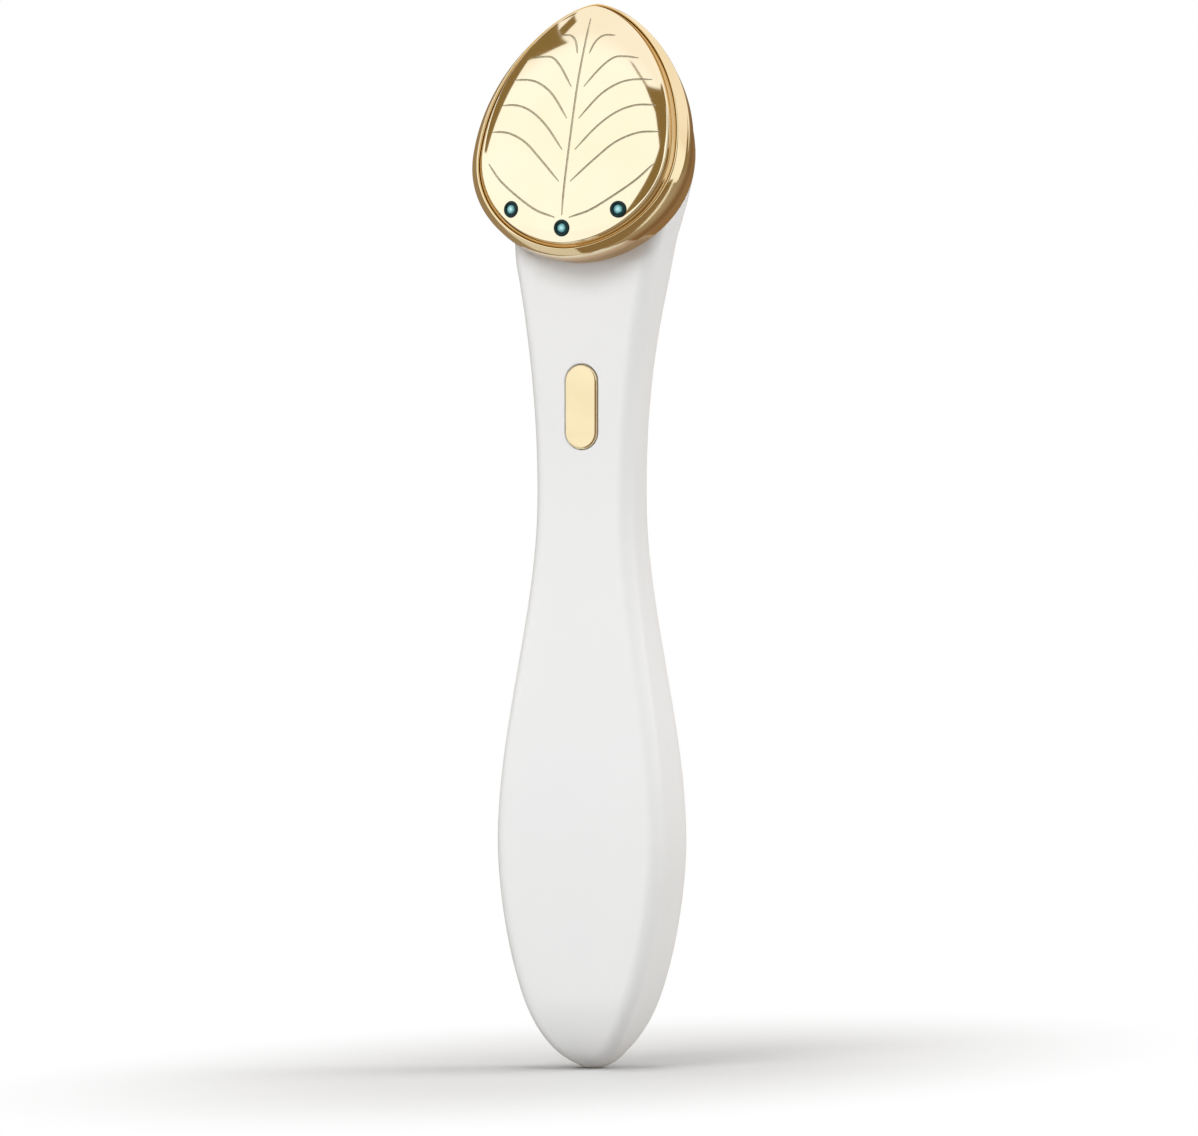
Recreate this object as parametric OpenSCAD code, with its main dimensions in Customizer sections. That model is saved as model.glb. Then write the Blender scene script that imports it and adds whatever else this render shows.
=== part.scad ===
// Heated eye massager wand, in millimetres.
// It stands on its tip with +Z along the handle, and its front and the button face -Y.
// The handle is a loft: every level is a rounded box whose width and depth follow smooth laws.
// The head is built in a tilted frame of its own, x to the right, y up its face, z out of it.

/* [Handle] */
// Widest width of the grip
grip_w = 26.9; // [24:0.1:30]
// Height of the widest level above the tip
grip_z = 34; // [30:0.5:38]
// Thickness of the grip
grip_t = 14.6; // [13.6:0.1:17]
// Height over which the tip swells to the full thickness
tip_z = 11.4; // [9:0.1:14]
// How full the tip is in front view, 2 being an ellipse
tip_power = 1.7; // [1.5:0.05:2.2]
// How full the tip is in side view
tip_side_power = 2.2; // [1.8:0.05:2.6]
// Width of the waist
waist_w = 15.6; // [15:0.1:18]
// Height of the waist above the tip
waist_z = 85; // [82:0.5:88]
// Thickness where the handle is thinnest
waist_t = 10.4; // [10.1:0.1:12]
// Height where the handle is thinnest
thin_z = 96; // [93:0.5:99]
// Width of the flare at the neck
neck_w = 23.9; // [21:0.1:26]
// Height of the neck above the tip
neck_z = 124; // [122:0.5:126]
// How much further back the neck reaches than the waist
neck_back = 2.7; // [1.5:0.1:4]
// Radius of the long edges at the front
front_r = 3; // [2:0.1:3.6]
// Radius of the long edges at the back
back_r = 4.6; // [4:0.1:5]
// Wall of the housing and of its back cover
wall = 1.5; // [1.2:0.05:1.7]

/* [Back of the head] */
// How far the housing's back lies inside the collar's outline
spoon_inset = 2.1; // [1.2:0.1:3]
// Radius of the housing's back edges behind the head
spoon_r = 7.5; // [6:0.1:9]
// How far above the neck the back starts to curve in
spoon_rise = 4; // [3:0.5:6]
// How late that curve bends, and how full it is
spoon_bend = 1.3; // [1.1:0.05:1.6]
spoon_full = 0.6; // [0.5:0.05:0.8]
// Radius of the housing's edges against the collar
seat_r = 0.6; // [0.3:0.1:0.8]

/* [Back cover] */
// Height of the cover's lower end
cover_low_z = 7; // [6:0.5:8]
// Height of the cover's upper end
cover_high_z = 143; // [140:0.5:144]
// Length of the cover's rounded ends
cover_end = 9; // [6:0.5:12]
// Seam round the cover
cover_gap = 0.12; // [0.05:0.01:0.2]
// Length of one snap hook along the handle
hook_l = 4; // [3:0.5:6]
// Thickness of a snap hook
hook_t = 0.9; // [0.7:0.1:1.2]
// How far a snap hook reaches in front of the cover's inner face
hook_reach = 2.75; // [2.4:0.05:3]
// How far a hook's barb reaches under the housing's edge
barb = 0.5; // [0.3:0.1:0.6]
// Height of the barb
barb_h = 0.9; // [0.7:0.1:1]
// Heights of the two hooks beside the main board
hook_high_z = [88, 110];

/* [Head] */
// Width of the head's ring
head_w = 34.7; // [32:0.1:37]
// Reach of the ring below its widest line
head_below = 15.9; // [14.5:0.1:17]
// Reach of the ring above its widest line
head_above = 24.9; // [23:0.1:28]
// How pointed the leaf's upper end is, 1 being an ellipse
leaf_power = 1.26; // [1.1:0.02:1.6]
// How pointed its lower end is
foot_power = 1.08; // [1:0.02:1.3]
// Height of the ring's widest line above the handle's tip
head_z = 137.2; // [135.5:0.1:138]
// How far the ring's front stands before the handle's middle plane
head_reach = 7.1; // [7:0.1:7.8]
// Backward tilt of the face
head_tilt = 20; // [17:0.5:22]
// Depth of the ring
ring_depth = 3.9; // [3.6:0.1:5]
// Width of the ring beside the face plate
ring_side = 2.7; // [2.4:0.1:3.4]
// Width of the ring below the face plate
ring_foot = 1.5; // [1.3:0.1:2.2]
// Width of the ring above the face plate
ring_tip = 1.8; // [1.5:0.1:2.6]
// How far the leaf's upper end draws in for each millimetre of depth
tip_slope = 0.5; // [0.3:0.05:0.7]
// Width of the inner lip that carries the face plate
lip_w = 1.6; // [1.4:0.1:2]
// Depth of that lip's seat below the ring's crest
lip_seat = 2.4; // [2.2:0.1:2.6]
// Inset of the collar behind the ring
collar_inset = 1.05; // [0.7:0.05:1.4]
// Depth of the collar behind the ring
collar_depth = 3.4; // [3.2:0.1:3.8]
// Floor of the collar
collar_floor = 1.4; // [1.2:0.1:1.6]
// Distance of the two head screws from the middle
head_screw_side = 7.5; // [6.5:0.1:8]
// Diameter of the posts that take them
post_d = 4.4; // [4:0.1:5]
// Diameter of the hole for the wires into the head
wire_hole_d = 4; // [3:0.1:4.4]

/* [Face plate] */
// Height of the plate's edge over the ring's crest
edge_rise = 1; // [0.6:0.1:1.6]
// Rise of the dome over that edge
dome_rise = 2.2; // [1.6:0.1:2.6]
// How flat the middle of the dome is
dome_power = 3; // [2:0.25:4]
// Wall of the face plate
plate_wall = 1; // [0.8:0.05:1.1]
// Gap between the plate and the ring
plate_gap = 0.1; // [0.05:0.01:0.15]
// Distance of the outer lights from the middle
led_side = 8.64; // [8:0.05:9.2]
// Distance of the outer lights below the head's widest line
led_side_drop = 9.5; // [9:0.05:9.9]
// Distance of the middle light below the head's widest line
led_drop = 12.5; // [12:0.05:12.7]
// Diameter of the dark ring round a light
bezel_d = 2.5; // [2.2:0.1:2.8]
// Diameter of a light's lens
lens_d = 1.5; // [1.2:0.1:1.7]
// Length of a lens
lens_l = 1.9; // [1.6:0.1:2]

/* [Heater] */
// Share of the face that the heating film covers
film_share = 0.7; // [0.5:0.02:0.74]
// Thickness of the heating film
film_t = 0.25; // [0.15:0.05:0.4]
// Thickness of the insulating plate
insulator_t = 0.8; // [0.6:0.05:0.9]
// Thickness of the light board
led_board_t = 0.6; // [0.5:0.05:0.8]
// Distance of the light board's upper edge below the head's widest line
led_board_low = 5.5; // [4.5:0.1:7]
// Height of a light-emitting diode
emitter_t = 0.5; // [0.3:0.05:0.6]
// Diameter of the temperature sensor's bead
bead_d = 1; // [0.8:0.05:1.2]

/* [Button] */
// Width of the button
button_w = 5.1; // [4.6:0.1:5.6]
// Length of the button
button_l = 12.7; // [11:0.1:14]
// Height of the button's middle above the tip
button_z = 99.3; // [98.5:0.1:100]
// How far the button stands out of the front
button_proud = 0.25; // [0.1:0.05:0.5]
// Running gap round the button
button_gap = 0.1; // [0.06:0.01:0.15]
// Width of the flange that holds the button in
flange_w = 0.8; // [0.6:0.1:1]
// Thickness of that flange
flange_t = 0.6; // [0.5:0.05:0.7]
// Travel of the button
travel = 0.35; // [0.2:0.05:0.4]

/* [Main board] */
// Width of the main board
board_w = 10.6; // [9:0.1:10.8]
// Distance of the main board above the cell's protection board
board_gap = 3.9; // [2:0.1:5]
// Height of the main board's upper end
board_high_z = 111.6; // [111:0.1:112]
// Thickness of the boards
board_t = 1; // [0.8:0.1:1.2]
// Footprint of the switch
switch_w = 4.2; // [3.6:0.1:5]
// Height of the switch's body
switch_t = 1; // [0.8:0.05:1.1]
// Diameter of the switch's plunger
plunger_d = 1.8; // [1.4:0.1:2.2]
// Running gap round the plunger
plunger_gap = 0.05; // [0.02:0.01:0.08]
// Width of the control chip
chip_w = 5; // [4:0.1:6]
// Height of the chip's lower edge
chip_z = 88; // [86:0.5:90]
// Height of the control chip
chip_t = 0.9; // [0.7:0.05:1.2]
// Diameter of the board screws' thread
screw_d = 1.6; // [1.4:0.1:1.8]
// Diameter of the screws' heads
screw_head_d = 2.8; // [2.4:0.1:3]
// Height of the screws' heads
screw_head_t = 0.8; // [0.6:0.1:1]
// Length of the thread under a board screw's head
screw_l = 3; // [2.6:0.1:3.2]
// Diameter of the bosses that take the board screws
boss_d = 3.4; // [3.2:0.1:3.8]

/* [Battery] */
// Width of the cell
cell_w = 14.4; // [13:0.1:14.6]
// Length of the cell
cell_l = 35; // [30:0.5:35]
// Thickness of the cell
cell_t = 7.4; // [6:0.1:7.6]
// Height of the cell's lower end
cell_z = 27.5; // [27:0.1:28]
// Radius of the cell's long edges
cell_r = 1.6; // [1:0.1:2]
// Thickness of the ribs under the cell
rib_t = 1.2; // [1:0.1:1.6]
// Length of the cell's protection board
guard_l = 3.6; // [3:0.1:4]

/* [Motor] */
// Diameter of the motor's can
motor_d = 6; // [5.6:0.1:6.1]
// Length of the motor's can
motor_l = 10; // [9:0.1:10.4]
// Height of the can's lower end
motor_z = 113.6; // [113.3:0.1:114]
// How far the motor's axis lies behind the middle plane
motor_back = 1.5; // [1.3:0.05:1.6]
// Thickness of the rubber sleeve round the can
sleeve_t = 0.7; // [0.5:0.05:0.8]
// Thickness of the motor's end cap
cap_t = 0.9; // [0.7:0.05:1]
// Diameter of the motor's shaft
shaft_d = 0.8; // [0.7:0.05:1]
// Length of the eccentric weight
weight_l = 3; // [2.5:0.1:3.2]
// Radius of the eccentric weight
weight_r = 2.4; // [2:0.05:2.5]

/* [Charging port] */
// Height of the port's middle above the tip
port_z = 16; // [15.5:0.1:16.5]
// Width of the port's metal shell
port_w = 8.9; // [8.8:0.05:9]
// Height of the port's metal shell
port_h = 3.2; // [3.1:0.05:3.3]
// Thickness of that shell's metal
port_wall = 0.3; // [0.25:0.01:0.35]
// Depth of the receptacle
port_l = 7.2; // [7:0.1:7.4]
// Gap between the receptacle and the cover
port_gap = 0.15; // [0.1:0.01:0.2]
// Width of the charge board
charge_w = 12; // [11:0.1:12.4]
// Height of the charge board's lower end
charge_low_z = 11.5; // [11:0.1:12]
// Height of the charge board's upper end
charge_high_z = 25.6; // [25:0.1:26]
// Distance of its screws from the middle
charge_screw_x = 4; // [3.6:0.1:4.2]
// Height of its screws
charge_screw_z = 22.6; // [22.2:0.1:23]

/* [Wires] */
// Diameter of the inner wires
wire_d = 0.9; // [0.7:0.05:1.1]

/* [Frame] */
// How far the handle's middle plane lies behind the frame's origin
mid_y = 1.6; // [0:0.01:2]

/* [Hidden] */
// Small gap between pieces that are pushed or glued together
fit = 0.03;
// Overlap that makes a cut or a join certain
bite = 0.4;
// Sides of the round pieces
round_n = 32;
// Points round the leaf outline and in each rounded corner
leaf_n = 56;
corner_n = 6;
// Smallest radius of a rounded corner, and half the flat spot at the very tip
least_r = 0.25;
tip_flat = 0.05;

// ---- Handle ----
head_cos = cos(head_tilt);
head_sin = sin(head_tilt);
// The back of the collar is a tilted plane; this is where its middle lies.
back_n = ring_depth + collar_depth;
plane_y = -head_reach + back_n*head_cos;
plane_z = head_z - back_n*head_sin;
spoon_half = head_w/2 - collar_inset - spoon_inset;
spoon_above = head_above - 1.1*collar_inset - spoon_inset - tip_slope*back_n;
// The housing's highest level, and the level from which its back curves up behind the head.
top_z = plane_z + spoon_above*head_cos;
spoon_z = neck_z + spoon_rise;

function ease(t) = let (u = min(1, max(0, t))) u*u*(3 - 2*u);
function soft_min(a, b, k) = let (h = max(k - abs(a - b), 0)/k) min(a, b) - h*h*k/4;
function flare(z) = waist_w/2 + (neck_w - waist_w)/2*pow((z - waist_z)/(neck_z - waist_z), 2);
function leaf_half(z) = let (v = (z - plane_z)/head_cos/spoon_above)
    v < 0 ? spoon_half : spoon_half*pow(max(0, 1 - v*v), leaf_power/2);
function half_w(z) =
    z < grip_z ? grip_w/2*sqrt(1 - pow(1 - (z + tip_flat)/(grip_z + tip_flat), tip_power)) :
    z < waist_z ? grip_w/2 + (waist_w - grip_w)/2*ease((z - grip_z)/(waist_z - grip_z)) :
    soft_min(flare(z), leaf_half(z), 2);

// Thickness of the handle up to the neck.
function thick(z) =
    z < tip_z ? grip_t*sqrt(1 - pow(1 - (z + tip_flat)/(tip_z + tip_flat), tip_side_power)) :
    grip_t + (waist_t - grip_t)*ease((z - grip_z)/(thin_z - grip_z));
function plane_at(z) = plane_y + (z - plane_z)*head_sin/head_cos;
function front_y(z) = max(-thick(z)/2, z > thin_z ? plane_at(z) : -grip_t);
function neck_y(z) = thick(z)/2 + (z > thin_z ? neck_back*pow((z - thin_z)/(neck_z - thin_z), 2) : 0);
function back_y(z) = z < spoon_z ? neck_y(z) :
    let (u = (z - spoon_z)/(top_z - spoon_z), deep = neck_y(spoon_z) - plane_at(spoon_z))
    plane_at(z) + deep*pow(max(0, 1 - pow(u, spoon_bend)), spoon_full);

// The two corner radii of a level, at a given depth inside the outer skin.
function corner(r, z, in, share) =
    max(least_r, min(r - in, 0.9*(half_w(z) - in), share*(back_y(z) - front_y(z)) - in));
function front_corner(z, in) =
    corner(front_r + (seat_r - front_r)*ease((z - neck_z)/(2*spoon_rise)), z, in, 0.45);
function back_corner(z, in) =
    corner(back_r + (spoon_r - back_r)*ease((z - neck_z + 2*spoon_rise)/spoon_above), z, in, 0.5);

function arc(cx, cy, r, start) =
    [for (i = [0 : corner_n]) [cx + r*cos(start + 90*i/corner_n), cy + r*sin(start + 90*i/corner_n)]];
// One level of the handle: a rounded box at height z, its skin moved in by in.
function level(z, in) =
    let (a = half_w(z) - in, b = back_y(z) - in,
         f = front_y(z) + (z > thin_z && plane_at(z) > -thick(z)/2 ? in/head_cos : in),
         rf = front_corner(z, in), rb = back_corner(z, in))
    [for (p = concat(arc(a - rb, b - rb, rb, 0), arc(rb - a, b - rb, rb, 90),
                     arc(rf - a, f + rf, rf, 180), arc(a - rf, f + rf, rf, 270))) [p.x, p.y, z]];

// Heights of the levels: close together at the tip, even along the handle, close again at the top.
tip_levels = [for (i = [0 : 10]) grip_z*(1 - cos(9*i))];
long_n = 18;
long_levels = [for (i = [1 : long_n]) grip_z + (spoon_z - grip_z)*i/long_n];
spoon_levels = [for (i = [1 : 9]) spoon_z + (top_z - 0.15 - spoon_z)*sin(10*i)];
all_levels = concat(tip_levels, long_levels, spoon_levels);

// A skin through rings of as many points each, closed by its first and last ring.
module loft(rings) {
    m = len(rings[0]);
    n = len(rings);
    points = [for (ring = rings) for (p = ring) p];
    sides = [for (k = [0 : n - 2]) for (i = [0 : m - 1])
        let (j = (i + 1)%m) [k*m + i, (k + 1)*m + i, (k + 1)*m + j, k*m + j]];
    bottom = [for (i = [0 : m - 1]) i];
    top = [for (i = [m - 1 : -1 : 0]) (n - 1)*m + i];
    polyhedron(points, concat(sides, [bottom], [top]));
}

// The same, but the last ring joins the first, as round a tyre.
module ring_loft(rings) {
    m = len(rings[0]);
    n = len(rings);
    polyhedron([for (ring = rings) for (p = ring) p],
        [for (k = [0 : n - 1]) for (i = [0 : m - 1])
            let (j = (i + 1)%m, q = (k + 1)%n) [k*m + i, q*m + i, q*m + j, k*m + j]]);
}

// A slot with round ends, standing on z = 0: w wide along x, l long along y.
module slot(w, l, h) {
    for (s = [-1, 1]) translate([0, s*(l - w)/2, 0]) cylinder(d = w, h = h, $fn = round_n);
    translate([-w/2, -(l - w)/2, 0]) cube([w, l - w, h]);
}

// Outline of a box with rounded corners, a and b being half its width and height.
function round_box(a, b, r, n) =
    [for (q = [[1, 1, 0], [-1, 1, 90], [-1, -1, 180], [1, -1, 270]]) for (i = [0 : n])
        let (turn = q.z + 90*i/n) [q.x*(a - r) + r*cos(turn), q.y*(b - r) + r*sin(turn)]];

module rod(d, h) cylinder(d = d, h = h, $fn = round_n);

// Places what faces the front or the back of the handle: its z becomes -y or +y.
module facing_front(y, z) translate([0, y, z]) rotate([90, 0, 0]) children();
module facing_back(y, z) translate([0, y, z]) rotate([-90, 0, 0]) children();
module in_frame() translate([0, mid_y, 0]) children();
module head_frame() translate([0, -head_reach, head_z]) rotate([90 - head_tilt, 0, 0]) children();
module at_head() in_frame() head_frame() children();
// The same for one point, for the routes of wires.
function head_point(x, y, z) =
    [x, -head_reach + y*head_sin - z*head_cos, head_z + y*head_cos + z*head_sin];

module handle_skin() loft([for (z = all_levels) level(z, 0)]);
// The hollow ends where the walls leave room for it.
hollow_low_z = 2.8*wall;
hollow_high_z = top_z - 3.3*wall;
module handle_hollow() loft([for (z = concat([hollow_low_z], [for (z = all_levels)
    if (z > hollow_low_z + bite && z < hollow_high_z - bite) z], [hollow_high_z])) level(z, wall)]);

// Half the cover's width at a level; it follows the back edge and closes in round ends.
function cover_half(z, in) =
    let (side = half_w(z) - 0.5*back_corner(z, 0) - in, low = cover_low_z + in, high = cover_high_z - in,
         u = max(0, 1 - (z - low)/cover_end, 1 - (high - z)/cover_end))
    side*sqrt(max(0, 1 - u*u));
// The zone behind a line that keeps clear of the slanted wall; the cover is cut out of it.
module rear_zone() {
    clear = wall/head_cos + 2*bite;
    end_z = top_z + bite;
    translate([-grip_w, 0, 0]) rotate([90, 0, 90]) linear_extrude(height = 2*grip_w)
        polygon([[0, -bite], [2*grip_t, -bite], [2*grip_t, end_z], [plane_at(end_z) + clear, end_z],
                 [0, plane_z - (clear + plane_y)*head_cos/head_sin]]);
}
module cover_shape(in) intersection() {
    rear_zone();
    cover_prism(in);
}
module cover_prism(in) {
    low = cover_low_z + in;
    high = cover_high_z - in;
    zs = concat([for (i = [0 : 6]) low + cover_end*(1 - cos(15*i))],
                [for (z = all_levels) if (z > low + cover_end + bite && z < high - cover_end - bite) z],
                [for (i = [0 : 6]) high - cover_end*(1 - sin(15*i))]);
    translate([0, grip_t, 0]) rotate([90, 0, 0]) linear_extrude(height = grip_t + bite)
        polygon(concat([for (z = zs) [cover_half(z, in) + tip_flat, z]],
                       [for (i = [len(zs) - 1 : -1 : 0]) [-cover_half(zs[i], in) - tip_flat, zs[i]]]));
}

// ---- Head ----
// The leaf outline, share of the way from the ring's outside to the plate's edge, then moved in by in.
function leaf(share, in, n, scale_by = 1) =
    let (w = head_w/2 - share*ring_side - in, low = head_below - share*ring_foot - in,
         high = head_above - share*ring_tip - 1.1*in + tip_slope*min(0, n))
    [for (i = [0 : leaf_n - 1]) let (c = cos(360*i/leaf_n), s = sin(360*i/leaf_n))
        [scale_by*w*sign(c)*pow(abs(c), s > 0 ? leaf_power : foot_power), scale_by*(s > 0 ? high : low)*s, n]];
module leaf_block(share, in, low, high) loft([leaf(share, in, low), leaf(share, in, high)]);

// Height of the dome over the ring's crest, f of the way from its middle to its edge.
function dome(f) = edge_rise + dome_rise*(1 - pow(f, dome_power));
plate_half = head_w/2 - ring_side;
plate_below = head_below - ring_foot;
function dome_share(p) = sqrt(pow(p.x/plate_half, 2) + pow(p.y/plate_below, 2));
function dome_slope(p) = dome_power*dome_rise*pow(dome_share(p), dome_power - 2);

led_board_top = -lip_seat + insulator_t + led_board_t;
led_places = [[-led_side, -led_side_drop], [0, -led_drop], [led_side, -led_side_drop]];
// Stands its children on the dome at a light, square to the surface.
module at_led(p) {
    nx = dome_slope(p)*p.x/pow(plate_half, 2);
    ny = dome_slope(p)*p.y/pow(plate_below, 2);
    translate([p.x, p.y, dome(dome_share(p))])
        rotate([0, acos(1/sqrt(1 + nx*nx + ny*ny)), atan2(ny, nx)]) children();
}

// Where the ring stops and the plate's skirt begins, as a share of the ring's width.
skirt_share = 0.6;
head_screw_places = [[-head_screw_side, 1], [head_screw_side, 1]];
wire_hole = [0, -5];
post_top = -lip_seat - 5*fit;
head_screw_reach = back_n + post_top - 0.6;

// ---- Battery ----
cell_front = front_y(cell_z + cell_l) + wall + 0.1;
cell_back = cell_front + cell_t;
cell_top_z = cell_z + cell_l;
rib_places = [cell_z + 2.5*rib_t, cell_z + cell_l/2, cell_top_z - 2.5*rib_t];
foam_side = cell_w/2 - 2;

// ---- Button and main board ----
front_in = front_y(button_z) + wall;
flange_back = front_in + fit + flange_t;
plunger_top = flange_back + fit;
plunger_out = travel + 0.15;
switch_front = plunger_top + plunger_out;
board_front = switch_front + switch_t;
board_back = board_front + board_t;
board_low_z = cell_top_z + guard_l + board_gap;
board_screw_z = [board_low_z + boss_d, board_high_z - boss_d/2 - 0.9];

// ---- Charging port ----
port_out = back_y(port_z) - 0.3;
charge_back = port_out - port_l;
charge_front = charge_back - board_t;

// ---- Motor ----
weight_z = motor_z + motor_l + 0.6;

// A wire: a tube with eight sides along the given points.
function unit(v) = v/norm(v);
function heading(points, i) =
    unit(points[min(i + 1, len(points) - 1)] - points[max(i - 1, 0)]);
function wire_ring(points, i) =
    let (t = heading(points, i), side = unit(cross(t, [1, 0.2, 0])), up = cross(t, side))
    [for (k = [0 : 7]) points[i] + wire_d/2*(cos(45*k)*side + sin(45*k)*up)];
module wire(points) loft([for (i = [0 : len(points) - 1]) wire_ring(points, i)]);

// Bosses that stand on the inside of the front wall and take the board screws.
module front_boss(x, z, top_y)
    translate([x, 0, 0]) facing_front(top_y, z)
        rod(boss_d, top_y - front_y(z) - wall + bite);
module screw_hole(x, z, top_y)
    translate([x, 0, 0]) facing_front(top_y + bite, z) rod(screw_d + 2*fit, screw_l + bite);

hook_places = concat([cell_z + cell_l*0.42, cell_top_z + guard_l], hook_high_z);
function hook_x(z) = min(cover_half(z - hook_l/2, cover_gap), cover_half(z + hook_l/2, cover_gap)) - fit;

module front_housing() color("white") in_frame() difference() {
    handle_skin();
    difference() {
        handle_hollow();
        for (z = board_screw_z) front_boss(0, z, board_front - fit);
        for (s = [-1, 1]) front_boss(s*charge_screw_x, charge_screw_z, charge_front - fit);
        // Ribs under the cell.
        for (z = rib_places)
            translate([-cell_w/2 + 1, -grip_t/2 + wall/2, z - rib_t/2])
                cube([cell_w - 2, cell_front - fit + grip_t/2 - wall/2, rib_t]);
    }
    cover_shape(0);
    for (z = board_screw_z) screw_hole(0, z, board_front);
    for (s = [-1, 1]) screw_hole(s*charge_screw_x, charge_screw_z, charge_front);
    // Hole for the button.
    facing_front(front_in + bite, button_z)
        slot(button_w + 2*button_gap, button_l + 2*button_gap, wall + 2*bite);
    // Holes in the slanted wall behind the head.
    head_frame() {
        for (p = head_screw_places) translate([p.x, p.y, -back_n - wall - bite])
            rod(screw_d + bite, wall + 2*bite);
        translate([wire_hole.x, wire_hole.y, -back_n - wall - bite]) rod(wire_hole_d, wall + 2*bite);
    }
}

// Front end of a snap hook.
function hook_low_y(z) = back_y(z) - wall - hook_reach;

module back_cover() color("white") in_frame() {
    difference() {
        intersection() {
            difference() {
                handle_skin();
                handle_hollow();
            }
            cover_shape(cover_gap);
        }
        facing_back(port_out - 2*wall, port_z) rotate([0, 0, 90])
            slot(port_h + 2*port_gap, port_w + 2*port_gap, 4*wall);
    }
    for (z = hook_places) for (s = [-1, 1]) {
        translate([s*(hook_x(z) - hook_t/2) - hook_t/2, hook_low_y(z), z - hook_l/2])
            cube([hook_t, hook_reach + wall/2, hook_l]);
        translate([s*(hook_x(z) + barb/2 - fit) - (barb + 2*fit)/2, hook_low_y(z), z - hook_l/2])
            cube([barb + 2*fit, barb_h, hook_l]);
    }
}

module power_button() color("gold") in_frame() {
    facing_front(front_in + fit + bite, button_z)
        slot(button_w, button_l, wall + button_proud + fit + bite);
    facing_front(flange_back, button_z)
        slot(button_w + 2*flange_w, button_l + 2*flange_w, flange_t);
}

module switch_plunger() color("dimgray") in_frame()
    facing_front(switch_front + switch_t - travel - 0.15, button_z)
        rod(plunger_d, switch_front + switch_t - travel - 0.15 - plunger_top);

module switch_body() color("black") in_frame() difference() {
    translate([-switch_w/2, switch_front, button_z - switch_w/2]) cube([switch_w, switch_t - fit, switch_w]);
    facing_front(switch_front + switch_t - 0.1, button_z) rod(plunger_d + 2*plunger_gap, switch_t + bite);
}

module main_board() color("darkgreen") in_frame() difference() {
    translate([-board_w/2, board_front, board_low_z]) cube([board_w, board_t, board_high_z - board_low_z]);
    for (z = board_screw_z) facing_front(board_back + bite, z) rod(screw_d + 0.2, board_t + 2*bite);
}

module control_chip() color("black") in_frame()
    translate([-chip_w/2, board_back + fit, chip_z]) cube([chip_w, chip_t, chip_w]);

// Coil, two capacitors, a transistor and a wire socket, on the back of the main board:
// place of each one's corner, then its width, length and height.
socket_l = 3.4;
socket_y = board_back + 1.2;
socket_z = board_high_z - 6.65;
part_boxes = [[[-3.2, 80], [3, 3, 1.4]], [[1.2, 80.4], [2, 2.6, 1]], [[1.2, 84.2], [2, 1.2, 0.8]],
              [[-3, 96], [2.2, 1.4, 0.9]], [[-3.5, socket_z - socket_l - 0.05], [7, socket_l, 1.6]]];
module board_parts() color("darkkhaki") in_frame()
    for (b = part_boxes) translate([b[0].x, board_back + fit, b[0].y]) cube([b[1].x, b[1].z, b[1].y]);

module pan_screw(l) {
    rod(screw_d, l + bite);
    translate([0, 0, -screw_head_t]) rod(screw_head_d, screw_head_t);
}
module board_screws() color("silver") in_frame() {
    for (z = board_screw_z) facing_front(board_back + fit, z) pan_screw(screw_l - bite);
    for (s = [-1, 1]) translate([s*charge_screw_x, 0, 0])
        facing_front(charge_back + fit, charge_screw_z) pan_screw(screw_l - bite);
}

module battery_cell() color("lightsteelblue") in_frame()
    translate([0, cell_front + cell_t/2, cell_z]) linear_extrude(height = cell_l)
        polygon(round_box(cell_w/2, cell_t/2, cell_r, 4));

foam_end = 4;
foam_t = back_y(cell_top_z) - wall - cell_back - 3*fit;
module battery_foam() color("dimgray") in_frame()
    translate([-foam_side, cell_back + fit, cell_z + foam_end])
        cube([2*foam_side, foam_t, cell_l - 2*foam_end]);

module protection_board() color("darkgreen") in_frame()
    translate([-foam_side, cell_front + cell_t/2 - board_t/2, cell_top_z + fit])
        cube([2*foam_side, board_t, guard_l]);

module charge_board() color("darkgreen") in_frame() difference() {
    translate([-charge_w/2, charge_front, charge_low_z])
        cube([charge_w, board_t, charge_high_z - charge_low_z]);
    for (s = [-1, 1]) translate([s*charge_screw_x, 0, 0])
        facing_front(charge_back + bite, charge_screw_z) rod(screw_d + 0.2, board_t + 2*bite);
}

module port_shell() color("silver") in_frame() facing_back(charge_back + fit, port_z) rotate([0, 0, 90])
    difference() {
        slot(port_h, port_w, port_l - fit);
        translate([0, 0, 1]) slot(port_h - 2*port_wall, port_w - 2*port_wall, port_l);
    }

module port_tongue() color("black") in_frame()
    translate([-3.3, charge_back + 1 + 2*fit, port_z - 0.35]) cube([6.6, port_l - 2.2, 0.7]);

module motor_axis(z) translate([0, motor_back, z]) children();

module motor_can() color("silver") in_frame() motor_axis(motor_z) difference() {
    rod(motor_d, motor_l);
    translate([0, 0, -bite]) rod(shaft_d + 0.1, motor_l + 2*bite);
}
module motor_cap() color("white") in_frame() motor_axis(motor_z - cap_t - fit) rod(motor_d - 0.6, cap_t);
module motor_sleeve() color("black") in_frame() difference() {
    intersection() {
        motor_axis(motor_z + 1) rod(motor_d + 2*sleeve_t, motor_l - 2.5);
        handle_sleeve_room();
    }
    motor_axis(motor_z) rod(motor_d + 2*fit, motor_l);
}
// The room that the sleeve may fill between the front wall and the cover.
module handle_sleeve_room()
    translate([-motor_d, front_in + 3*fit, motor_z])
        cube([2*motor_d, back_y(motor_z) - wall - 3*fit - front_in, motor_l]);

module motor_weight() color("goldenrod") in_frame() {
    motor_axis(motor_z + 0.5) rod(shaft_d, weight_z - motor_z + weight_l - 0.5);
    motor_axis(weight_z) difference() {
        rod(2*weight_r, weight_l);
        translate([-1.5*weight_r, shaft_d/2 + 0.3, -bite])
            cube([3*weight_r, 2*weight_r, weight_l + 2*bite]);
    }
}

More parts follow.
